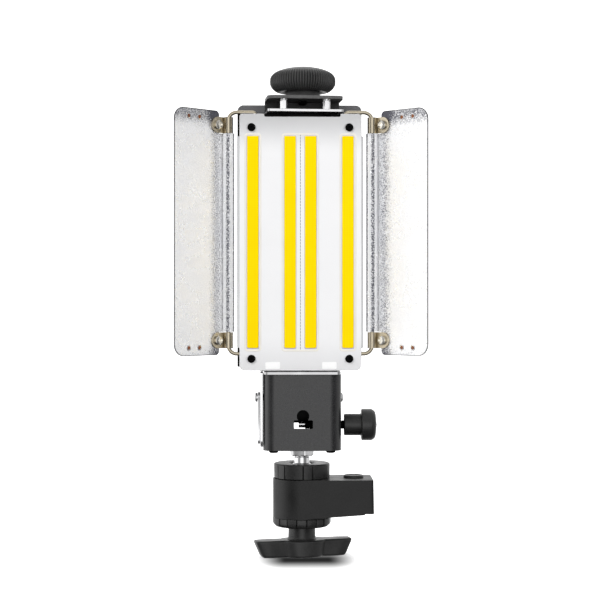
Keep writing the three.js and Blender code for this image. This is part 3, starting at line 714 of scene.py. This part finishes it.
def mount_chassis():
    back, low, top = CHASSIS[3:]
    half, inside, sheet = 25.4, 24.4, 1.7
    outline = rounded(-half, half, -20.6, back, [2.5, 2.5, 0.6, 0.6])
    flange = prism("mount_chassis_sheet", outline, "plan", top - sheet, top)
    wall = block("wall", -half, half, back - sheet, back, low, top - 0.3)
    outline = rounded(-inside, inside, -17.0, back - 0.3, [6.6, 6.6, 0.5, 0.5])
    floor = prism("floor", outline, "plan", low, low + sheet)
    chassis = fuse(flange, wall, floor)
    feet = [bar("foot", "z", 1.8, low - 2, low + 4, (x, -12)) for x in (-19, 19)]
    window = prism("window", rounded(-6, 6, 82.5, 88.3, [0.8] * 4, 4), "front", back - 4, back + 2)
    carve(chassis, bar("stud", "z", 5.05, low - 2, low + 4), window, *feet)
    dress(chassis, SHADED_CHASSIS_STEEL, "head", ["mount_chassis"], edge=0.35)


def pan_head(r, high, foot):
    """A screw head's profile from its rim up, for a head that stands on `foot` and rises outwards."""
    sign = 1 if high > foot else -1
    rise = abs(high - foot)
    return [
        (r, foot), (r, foot + sign * 0.45 * rise), (0.93 * r, foot + sign * 0.75 * rise),
        (0.72 * r, foot + sign * 0.94 * rise), (0.4 * r, high), (0, high),
    ]


def screw_with(shank, end, r, high, foot):
    """A screw's profile: a shank of that radius from its end up to the foot of its head."""
    return [(0, end), (shank, end), (shank, foot)] + pan_head(r, high, foot)


def cross_recess(axis, at, high, inward, size):
    """Two crossed wedges that cut a cross recess into a head's top."""
    tools = []
    view = {"x": "side", "y": "front"}[axis]
    low, top = sorted((high - inward * 0.3, high + inward))
    for wide, tall in ((size, 0.28 * size), (0.28 * size, size)):
        a0, a1 = at[0] - wide, at[0] + wide
        b0, b1 = at[1] - tall, at[1] + tall
        tools.append(prism("recess", [(a0, b0), (a1, b0), (a1, b1), (a0, b1)], view, low, top))
    return tools


def side_hardware():
    x0, x1, y0, y1, z0, z1 = span("side_plate")
    plate = prism("side_plate_sheet", rounded(y0, y1, z0, z1, [5, 5, 1, 1]), "side", x0, x1)
    carve(plate, bar("bolt", "x", 2.3, x0 - 2, x1 + 2, BOLT))
    dress(plate, BRIGHT_STEEL, "head", ["side_plate"], edge=0.3)

    x0, x1 = span("side_latch")[:2]
    outline = arc(8, 79, 3, 270, 360) + [(11, 92)] + arc(*BOLT, 3.7, 0, 180, 16)
    outline += [(-11, 92)] + arc(-8, 79, 3, 180, 270)
    latch = prism("side_latch_leaf", outline, "side", x0, x1)
    carve(latch, bar("bolt", "x", 2.3, x0 - 2, x1 + 2, BOLT))
    dress(latch, BRIGHT_STEEL, "side_latch", ["side_latch"], edge=0.3)

    x0, x1 = span("cross_bolt")[:2]
    bolt = turned("cross_bolt_screw", screw_with(2, x1, 3.2, x0, x0 + 1.8), "x", BOLT)
    carve(bolt, *cross_recess("x", BOLT, x0, 1, 1.7))
    dress(bolt, BRIGHT_STEEL, "head", ["cross_bolt"], edge=0.08)

    x0, x1 = span("dome_nut")[:2]
    dome = [
        (2.35, x0), (3.3, x0), (3.3, x0 + 0.5), (3.05, x0 + 1.0), (2.5, x0 + 1.5), (1.5, x1 - 0.15), (0, x1),
        (0, 27.3), (2.35, 27.3),
    ]
    dress(turned("dome_nut_cap", dome, "x", BOLT, ring=True), BRIGHT_STEEL, "head", ["dome_nut"])

    for side, x in (("left", -19), ("right", 19)):
        low, high = span(f"foot_screw_{side}")[4:]
        profile = screw_with(1.5, high, 3.1, low, high - 4.4)
        screw = turned(f"foot_screw_{side}_button", profile, at=(x, -12))
        dress(screw, BLACK_STEEL, "head", [f"foot_screw_{side}"])


def side_knob():
    x0, x1 = span("side_knob")[:2]
    waist = 40.0
    profile = [
        (3.3, x0), (6.7, x0), (7.15, x0 + 0.3), (7.3, x0 + 1.0), (7.3, waist - 0.6), (7.6, waist - 0.15),
        (9.9, waist), (10.45, waist + 0.25), (10.6, waist + 0.8), (10.6, 46.4), (10.3, 47.4), (9.6, 48.5),
        (8.6, 49.3), (7.0, 49.7), (4.0, 49.95), (0, x1), (0, 45), (3.3, 45),
    ]
    knob = turned("side_knob_moulding", profile, "x", SIDE, sides=96, ring=True)
    dress(knob, BLACK_PLASTIC, "side_knob", ["side_knob"])
    x0, x1 = span("side_stud")[:2]
    stud = turned("side_stud_thread", m6_thread(x0, x1, 2.5), "x", SIDE, sides=40)
    dress(stud, BLACK_STEEL, "side_knob", ["side_stud"])


# ---- lamp head
def screw_holes(r, low, high, sides=48):
    """Tools for the four screw holes of the board and of what stands behind it."""
    places = [(HEAD_X + x, z) for x in (-SCREW["x"], SCREW["x"]) for z in (SCREW["low"], SCREW["top"])]
    return [bar("hole", "y", r, low, high, at, sides) for at in places]


def led_board():
    x0, x1, y0, y1, z0, z1 = BOARD
    board = prism("led_board_sheet", rounded(x0, x1, z0, z1, [3.5, 3.5, 2, 2]), "front", y0, y1)
    notch = rounded(-25.25, 25.25, 293.2, z1 + 5, [0.8, 0.8, 1, 1], 4)
    carve(board, prism("notch", notch, "front", y0 - 1, y1 + 1), *screw_holes(1.7, y0 - 1, y1 + 1))
    dress(board, BOARD_WHITE, "head", ["led_board"], edge=0.22)
    for k in range(1, 5):
        light_strip(k, y0)
    cream_frame("dam_left", 1, 1, y0)
    cream_frame("dam_middle", 2, 3, y0)
    cream_frame("dam_right", 4, 4, y0)
    score_line(y0)
    for name, x in (("left", -18.3), ("right", 19.1)):
        outline = rounded(x - 4.8, x + 4.8, 126.6, 131.2, [0.7] * 4, 4)
        pad = prism(f"solder_pad_{name}", outline, "front", y0 - 0.22, y0 + 0.2)
        moved(pad, Matrix.Translation((HEAD_X * MM, 0, 0)))
        dress(pad, PAD_WHITE, "head", edge=0.12)


def light_strip(k, face):
    """A domed bar of phosphor gel in its thin grey outline."""
    x0, x1, y0, _, z0, z1 = span(f"cob_strip_{k}")
    outline = rounded(x0, x1, z0, z1, [1.1, 1.1, 0.5, 0.5], 4)
    strip = prism(f"cob_strip_{k}_gel", outline, "front", y0, face + 0.05)
    dress(strip, PHOSPHOR, "head", [f"cob_strip_{k}"], edge=0.32, steps=3)
    outline = rounded(x0 - 0.42, x1 + 0.42, z0 - 0.75, z1 + 0.35, [0.9] * 4, 4)
    line = prism(f"strip_outline_{k}", outline, "front", face - 0.06, face + 0.1)
    dress(line, DAM_GREY, "head")


def cream_frame(name, first, last, face):
    """The pale bead of sealant round one strip or a pair."""
    first, last = span(f"cob_strip_{first}"), span(f"cob_strip_{last}")
    x0, x1 = first[0] - 1.9, last[1] + 1.9
    z0, z1 = first[4] - 2.3, first[5] + 1.9
    outer = prism(name, rounded(x0, x1, z0, z1, [2.2] * 4, 6), "front", face - 0.16, face + 0.1)
    hole = rounded(x0 + 1.1, x1 - 1.1, z0 + 1.1, z1 - 1.1, [1.2] * 4, 6)
    inner = prism("hole", hole, "front", face - 1, face + 1)
    carve(outer, inner)
    dress(outer, DAM_CREAM, "head", edge=0.14)


def score_line(face):
    """A dashed line down the middle of the board, between the two inner strips."""
    z0, z1 = span("cob_strip_2")[4:]
    dashes = []
    z = z0 - 1
    while z < z1 + 1:
        dashes.append(block("score_line", HEAD_X - 0.16, HEAD_X + 0.16, face - 0.04, face + 0.1, z, z + 1.7))
        z += 2.1
    dress(gather(*dashes), INK, "head")


def board_screws():
    for k in range(1, 5):
        x0, x1, y0, y1 = span(f"board_screw_{k}")[:4]
        middle = centre(f"board_screw_{k}", 0, 2)
        profile = screw_with(1.5, y1, (x1 - x0) / 2, y0, BOARD[2] - 0.05)
        screw = turned(f"board_screw_{k}_button", profile, "y", middle, sides=64)
        socket = turned("socket", [(0, y0 - 1), (1.3, y0 - 1), (1.3, y0 + 0.9), (0, y0 + 1.2)], "y", middle,
                        sides=24, reach=hex_reach(2.0))
        carve(screw, socket)
        dress(screw, BLACK_STEEL, "head", [f"board_screw_{k}"], edge=0.06)


def carrier_and_sink():
    x0, x1, y0, y1, z0, z1 = span("led_carrier")
    tray = prism("led_carrier_tray", rounded(x0, x1, z0, z1, [0.8] * 4, 3), "front", y0, y1)
    carve(tray, block("hollow", x0 + 1.6, x1 - 1.6, y0 + 1.6, y1 + 2, z0 + 1.6, z1 - 1.6))
    dress(tray, SHADED_TRAY_STEEL, "head", ["led_carrier"], edge=0.3)

    x0, x1, y0, y1, z0, z1 = SINK
    face, low, top = -9.9, 128, 296
    base = block("heat_sink_extrusion", x0, x1, face, -5, low, top)
    parts = [
        block("foot", HEAD_X - 25, HEAD_X + 25, face, -5, z0, z1),
        block("low_block", x0, x1, y0, -9, low, low + 12.4),
        block("top_block", x0, x1, y0, -9, top - 15.4, top),
    ]
    pitch, half = 8.8, 1.0
    for k in range(-4, 5):
        x = HEAD_X + pitch * k
        outline = arc(x, y1 - 0.8, 0.8, 0, 180, 6) + [(x - half, -5.5), (x + half, -5.5)]
        parts.append(prism("fin", outline, "plan", low + 3, top - 1.6))
    sink = fuse(base, *parts)
    holes = screw_holes(1.8, y0 - 1, -10, 24)
    carve(sink, block("notch", -25.5, 25.5, y0 - 1, face, 293, 300), *holes)
    dress(sink, BLACK_ANODISED, "head", ["heat_sink"], edge=0.35)


def rear_cover():
    x0, x1, y0, y1, z0, z1 = COVER
    wall, lip = 1.8, 3.2
    tub = prism("rear_cover_shell", rounded(x0, x1, z0, z1, [4] * 4, 8), "front", y0, y1)
    dial = joint_at("dimmer_turn")
    inlet_at = centre("dc_inlet", 0, 2)
    vents = [
        prism("vent", rounded(HEAD_X - 24, HEAD_X + 24, z, z + 3, [1.4] * 4, 4), "front", y1 - 4, y1 + 2)
        for z in range(190, 254, 9)
    ]
    carve(
        tub,
        block("cavity", x0 + wall, x1 - wall, y0 + wall, y1 - wall, z0 + wall, z1 - wall),
        block("mouth", HEAD_X - 38, HEAD_X + 38, y0 - 2, y0 + lip, 131, 294.5),
        bar("inlet", "y", 4.3, y1 - 4, y1 + 2, inlet_at),
        bar("dial", "y", 3.3, y1 - 4, y1 + 2, (dial.x, dial.z)),
        *vents,
    )
    dress(tub, GREY_SHELL, "head", ["rear_cover"], edge=1.0, steps=3)

    y0, y1 = span("dc_inlet")[2:4]
    shell = [
        (2.8, y1), (4.6, y1), (6.1, y1 - 0.2), (6.5, y1 - 0.6), (6.5, y0 + 7.4), (4, y0 + 7.4), (4, y0),
        (0, y0), (0, 25.5), (0.7, 25.3), (1, 24.9), (1, 19.8), (2.8, 19.8),
    ]
    socket = turned("dc_inlet_socket", shell, "y", inlet_at, ring=True)
    dress(socket, BLACK_PLASTIC, "head", ["dc_inlet"], edge=0.1)
    aside, inset, r, back, top = 36, 6, 2.4, COVER[3], COVER[3] + 1.1
    corners = [(HEAD_X + x, z) for z in (COVER[4] + inset, COVER[5] - inset) for x in (-aside, aside)]
    for k, at in enumerate(corners):
        profile = [(0, back - 0.5), (r, back - 0.5)] + pan_head(r, top, back)
        head = turned(f"cover_screw_{k + 1}", profile, "y", at)
        carve(head, *cross_recess("y", at, top, -1, 1.3))
        dress(head, BLACK_STEEL, "head", edge=0.06)


def dimmer_knob():
    x0, x1, y0, y1 = span("dimmer_knob")[:4]
    at = centre("dimmer_knob", 0, 2)
    r = (x1 - x0) / 2
    face = COVER[3] + 0.3
    profile = [(0, y0), (3, y0), (3, face), (r - 0.6, face), (r, face + 0.6)]
    profile += [(r, y1 - 1.2), (r - 0.4, y1 - 0.5), (r - 1.2, y1), (0, y1 - 0.3)]

    def knurl(angle, far, height):
        deep = 0.3 * (0.5 - 0.5 * math.cos(36 * angle))
        return far - deep if far > r - 0.5 and height > face + 0.3 else far
    knob = turned("dimmer_knob_moulding", profile, "y", at, sides=288, reach=knurl)
    groove = block("pointer", at[0] - 0.35, at[0] + 0.35, y1 - 0.7, y1 + 1, at[1] + 3.5, at[1] + r + 1)
    carve(knob, groove)
    dress(knob, BLACK_PLASTIC, "dimmer_knob", ["dimmer_knob"])


def door_wire(side):
    """A wire hooked round two screws of the board, whose upright run is the door's hinge."""
    inner = SCREW["x"] - WIRE["eye"]
    bend, hook = WIRE["bend"], WIRE["hook"]
    flat = arc(SCREW["x"], SCREW["top"], WIRE["eye"], 360, 180, 24)
    flat += arc(inner + hook, WIRE["top"] - hook, hook, 180, 90, 12)
    flat += arc(WIRE_X - bend, WIRE["top"] - bend, bend, 90, 0, 16)
    flat += arc(WIRE_X - bend, WIRE["low"] + bend, bend, 0, -90, 16)
    flat += arc(SCREW["x"], SCREW["low"], WIRE["eye"], 90, 360, 36)
    name = "left" if side < 0 else "right"
    wire = tube(f"door_wire_{name}_bent", [(HEAD_X + side * x, WIRE_Y, z) for x, z in flat], WIRE["r"])
    dress(wire, NICKEL, "head", [f"door_wire_{name}"])


# ---- clamp on top
def clamp_knob():
    """Fine ribs run round a fat rim, between a plain domed top and a plain neck."""
    z0, top, r = KNOB[4], KNOB[5], (KNOB[1] - KNOB[0]) / 2
    profile = [
        (3.3, z0), (12.3, z0), (12.3, z0 + 0.6), (11.8, z0 + 1.4), (11.6, z0 + 4.9), (12.4, z0 + 5.4),
        (13.6, z0 + 4.5), (15.2, z0 + 4.1), (16.8, z0 + 4.25), (18.4, z0 + 4.9), (19.9, z0 + 6.1),
        (21.1, z0 + 7.6), (21.9, z0 + 9.3), (r, z0 + 11.4), (21.9, z0 + 13.4), (21.2, z0 + 14.9),
        (20.1, z0 + 16.2), (18.6, z0 + 17.3), (16.6, z0 + 18.3), (14.4, z0 + 19.1), (12.0, top - 1.4),
        (9.0, top - 0.8), (5.0, top - 0.3), (0, top), (0, 322.4), (3.3, 322.4),
    ]
    ribs = 74

    def ribbed(angle, far, height):
        if far < 15 or height < z0 + 4:
            return far
        fade = (far - 15) / 3.0 if height < z0 + 12 else (far - 18.2) / 2.2
        fade = max(0.0, min(1.0, fade))
        wave = 0.5 - 0.5 * math.cos(ribs * angle)
        return far - 1.1 * fade * (1 - wave ** 0.5)
    at = (CLAMP.x, CLAMP.y)
    knob = turned("clamp_knob_moulding", profile, at=at, sides=ribs * 8, reach=ribbed, ring=True)
    dress(knob, LIT_KNOB_PLASTIC, "clamp_knob", ["clamp_knob"])
    stud = turned("clamp_stud_thread", m6_thread(*span("clamp_stud")[4:], 2.6), at=at, sides=40)
    dress(stud, BLACK_STEEL, "clamp_knob", ["clamp_stud"])
    low, high = span("clamp_foot")[4:]
    tip = turned("clamp_foot_tip", [
        (0, low), (1.5, low + 0.1), (2.3, low + 0.45), (2.8, low + 1.0), (2.8, high), (0, high),
    ], at=at, sides=48)
    dress(tip, BLACK_STEEL, "clamp_foot", ["clamp_foot"])


def clamp_bracket():
    """A strap on the board's edge and a bent plate over it on two posts, all drawn straight and turned."""
    turn = Matrix.Translation(Vector((CLAMP.x, CLAMP.y, 0)) * MM) @ Matrix.Rotation(CLAMP_TURN, 4, "Z")
    low, top = STRAP[4], PLATE[5]
    half, front, back = 25.2, -20.0, 6.0
    sheet, bend = 2.1, 2.6
    under = top - sheet
    outline = rounded(-half, half, front, back - bend + 0.1, [5, 5, 0.1, 0.1])
    plate = prism("clamp_plate_bent", outline, "plan", under, top)
    fold = arc(back - bend, top - bend, bend, 90, 0, 8) + [(back, low), (back - sheet, low)]
    fold += arc(back - bend, top - bend, bend - sheet, 0, 90, 4)
    fuse(plate, prism("fold", fold, "side", -half, half))
    posts = [(side * 14.2, -16.5) for side in (-1, 1)]
    holes = [bar("hole", "z", 1.6, under - 2, top + 2, at) for at in posts]
    carve(plate, bar("stud", "z", 3.3, under - 2, top + 2), *holes)
    dress(moved(plate, turn), LIT_BLACK_PAINT, "head", ["clamp_plate"], edge=0.7, steps=4)

    outline = rounded(-25.1, 25.1, -20.6, 3.9, [1.5, 1.5, 0.5, 0.5])
    strap = prism("top_strap_sheet", outline, "plan", low, STRAP[5] + 0.05)
    carve(strap, *[bar("hole", "z", 1.8, low - 1, low + 4, at) for at in posts])
    dress(moved(strap, turn), BRIGHT_STEEL, "head", ["top_strap"], edge=0.4)

    flats, shoulder = 4.2, under - 0.1
    corner = flats / 2 / math.cos(math.radians(30))

    def reach(angle, r, z):
        return hex_reach(flats)(angle, r, z) if z < shoulder - 0.85 else r
    for side, at in zip(("left", "right"), posts):
        z0, z1 = span(f"clamp_standoff_{side}")[4:]
        profile = [
            (1.8, z0), (2.0, z0), (corner, z0 + 0.4), (corner, shoulder - 1.1), (2.0, shoulder - 0.9),
            (2.0, shoulder - 0.8), (2.7, shoulder - 0.7), (2.7, shoulder), (1.3, shoulder), (1.3, z1),
            (0, z1), (0, 301.4), (1.8, 301.4),
        ]
        post = turned(f"clamp_standoff_{side}_hex", profile, at=at, sides=72, reach=reach, ring=True)
        dress(moved(post, turn), BRIGHT_STEEL, "head", [f"clamp_standoff_{side}"])
        z0, z1 = span(f"strap_screw_{side}")[4:]
        screw = turned(f"strap_screw_{side}_pan", screw_with(1.5, z1, 2.6, z0, low - 0.1), at=at)
        dress(moved(screw, turn), BLACK_STEEL, "head", [f"strap_screw_{side}"])


# ---- reflector doors
def door_frame(side):
    """From a door's own axes to the frame's: +X runs from the hinge to the free edge, +Y is its back."""
    hinge = Matrix.Translation(Vector((HEAD_X + side * WIRE_X, WIRE_Y, 0)) * MM)
    return hinge @ Matrix.Rotation(-side * DOOR_ANGLE, 4, "Z") @ Matrix.Diagonal((side, 1, 1, 1))


def door(side):
    name = "left" if side < 0 else "right"
    body = f"door_{name}"
    to_frame = door_frame(side)
    back, front = DOOR["roll"], DOOR["roll"] - DOOR["sheet"]
    leaf = prism(f"door_leaf_{name}", rounded(5.5, DOOR["width"], DOOR["z0"], DOOR["z1"], [3, 8, 8, 3], 12),
                 "front", front, back)
    hem = arc(0, 0, back, 90, 408, 60) + arc(0, 0, front, 408, 90, 60)
    roll = prism("roll", hem, "plan", DOOR["low"], DOOR["high"])
    strip = block("strip", -0.01, 6.5, front, back, DOOR["low"], DOOR["high"])
    fuse(leaf, roll, strip)
    carve(leaf, *[bar("hole", "y", 2.05, 2, 5, (CLIP["screw"], z)) for z in (CLIP["low"], CLIP["high"])])
    moved(leaf, to_frame)
    dress(leaf, REFLECTOR, body, [f"door_panel_{name}"], edge=0.18)
    for place, z in (("top", CLIP["high"]), ("low", CLIP["low"])):
        clip(name, place, z, to_frame)
    rivets(name, body, to_frame)


def clip(name, place, z, to_frame):
    half, r, screw = CLIP["half"], CLIP["r"], CLIP["screw"]
    ring = bar(f"door_clip_{name}_{place}_strap", "z", r, z - half, z + half)
    flange = [(0, z - half)] + arc(screw, z, half, 270, 450, 20) + [(0, z + half)]
    fuse(ring, prism("flange", flange, "front", 1.8, r))
    bore = bar("wire", "z", 1.9, z - half - 1, z + half + 1, sides=32)
    carve(ring, bore, bar("screw", "y", 2.05, 0, 5, (screw, z)))
    moved(ring, to_frame)
    dress(ring, NICKEL, f"door_{name}", [f"door_clip_{name}_{place}"], edge=0.3)

    head = [(0, 7), (1.3, 7), (1.75, 6.6), (1.75, 6.4), (2.6, 6.4), (3.18, 6.0), (3.18, 4.4), (2.6, 4.0)]
    head += [(1.75, 4.0), (1.75, 1.7)] + pan_head(3.2, -0.5, 1.7)

    def hexagon(angle, far, height):
        return hex_reach(5.5)(angle, far, height) if 3.9 < height < 6.5 else far
    bolt = turned(f"clip_bolt_{name}_{place}_screw", head, "y", (screw, z), sides=72, reach=hexagon)
    carve(bolt, *cross_recess("y", (screw, z), -0.5, 1, 1.9))
    moved(bolt, to_frame)
    dress(bolt, SCREW_NICKEL, f"door_{name}", [f"clip_bolt_{name}_{place}"], edge=0.1)


def rivets(name, body, to_frame):
    """Two small copper rivets near each outer corner of a door, each in a bright rim."""
    front, back = DOOR["roll"] - DOOR["sheet"], DOOR["roll"]
    head = mirrored([(0, -0.25), (0.9, -0.22), (1.25, -0.05)], front, back)
    rim = mirrored([(1.27, -0.14), (1.7, -0.12), (1.9, 0.02)], front, back)
    heads, rims = [], []
    for inward in (12.5, 21.8):
        for z in (DOOR["z0"] + 5.2, DOOR["z1"] - 5.2):
            at = (DOOR["width"] - inward, z)
            heads.append(turned(f"rivets_{name}", head, "y", at, sides=24))
            rims.append(turned(f"rivet_rims_{name}", rim, "y", at, sides=24, ring=True))
    dress(moved(gather(*heads), to_frame), COPPER, body)
    dress(moved(gather(*rims), to_frame), BRIGHT_STEEL, body)


# ---- stage
def white(name, strength):
    """A white that glows by itself, and its surface shader."""
    made = bpy.data.materials.new(name)
    made.use_nodes = True
    shader = made.node_tree.nodes["Principled BSDF"]
    for socket, value in (
        ("Base Color", (1, 1, 1, 1)),
        ("Emission Color", (1, 1, 1, 1)),
        ("Emission Strength", strength),
        ("Roughness", 0.8),
        ("Specular IOR Level", 0.0),
    ):
        shader.inputs[socket].default_value = value
    return made, shader


def stage():
    """A plain white floor with a painted soft shadow where the handle stands, in a white drum. Only the
    camera sees them.
    """
    wide, tall = 9000, 6000
    floor = block("floor", -wide, wide, -wide, wide, -20, 0)
    coat, shader = white("floor_white", 0.75)
    tree = coat.node_tree
    # Painted shadow: the floor's colour and glow fall to near black in a soft patch just in front of the
    # handle.
    far = outside(tree, (3, -17, 0), (14, 3, 1000), (1, 0.57, 1))
    fade = ease(tree, far, 0.0, 30.0, 0.015, 1.0)
    tree.links.new(fade, shader.inputs["Base Color"])
    tree.links.new(fade, shader.inputs["Emission Color"])
    floor.data.materials.append(coat)

    backdrop = turned("backdrop", [(wide - 100, -20), (wide - 100, tall), (0, tall)])
    backdrop.data.materials.append(white("backdrop_white", 1.0)[0])
    backdrop.visible_transmission = False
    backdrop.visible_shadow = False
    for part in (floor, backdrop):
        part.visible_diffuse = False
        part.visible_glossy = False


def area(name, spot, power):
    """A soft square light that looks at the lamp and shows in no reflection."""
    light = bpy.data.lights.new(name, "AREA")
    light.size = 0.8
    light.energy = power
    obj = bpy.data.objects.new(name, light)
    bpy.context.scene.collection.objects.link(obj)
    obj.location = Vector(spot)
    obj.rotation_euler = (Vector((0, 0, 0.17)) - obj.location).to_track_quat("-Z", "Y").to_euler()
    obj.visible_glossy = False


def studio_world():
    """White behind, bright on the left and in a band ahead, darker between them and on the right."""
    world = bpy.data.worlds.new("studio")
    bpy.context.scene.world = world
    world.use_nodes = True
    tree = world.node_tree
    way = tree.nodes.new("ShaderNodeTexCoord")
    x, y, z = split(tree, way.outputs["Generated"])
    total = 0.09
    for part, sign, power, strength in (
        (x, -1.0, 7.0, 1.60),
        (x, 1.0, 9.0, 0.60),
        (y, -1.0, 12.0, 1.50),
        (y, 1.0, 1.5, 1.10),
        (z, 1.0, 1.5, 0.70),
    ):
        lit = maths(tree, "MAXIMUM", maths(tree, "MULTIPLY", part, sign), 0.0)
        lobe = maths(tree, "MULTIPLY", maths(tree, "POWER", lit, power), strength)
        total = maths(tree, "ADD", lobe, total)
    background = tree.nodes["Background"]
    tree.links.new(total, background.inputs["Strength"])
    background.inputs["Color"].default_value = (1, 1, 1, 1)


def lights():
    studio_world()
    area("key", (-0.9, -1.2, 1.0), 14.5)
    area("fill", (1.1, -1.2, 0.5), 12)


def camera():
    lens = bpy.data.cameras.new("camera")
    lens.lens = 95.64
    obj = bpy.data.objects.new("camera", lens)
    bpy.context.scene.collection.objects.link(obj)
    aside, distance, height = -24.0, 1052.0, 172.2
    obj.location = Vector((aside, BOARD[2] - distance, height)) * MM
    aim = HEAD_X - 0.26
    toward = math.atan2(aim - aside, distance)
    obj.rotation_euler = (QUARTER, 0, -toward)
    bpy.context.scene.camera = obj


# ---- everything
for build in (
    t_handle, lock_ring, clamp_body, ball_collar, ball_and_stud, mount_cover, mount_chassis, side_hardware,
    side_knob, led_board, board_screws, carrier_and_sink, rear_cover, dimmer_knob,
):
    build()
for side in (-1, 1):
    door_wire(side)
clamp_knob()
clamp_bracket()
for side in (-1, 1):
    door(side)
keep("driver_board", CIRCUIT)
keep("t_screw", BRIGHT_STEEL)
keep("ball_seat", BLACK_PLASTIC)
keep("side_tip", BRIGHT_STEEL)
stage()
lights()
camera()
bpy.context.scene.view_settings.view_transform = "Standard"
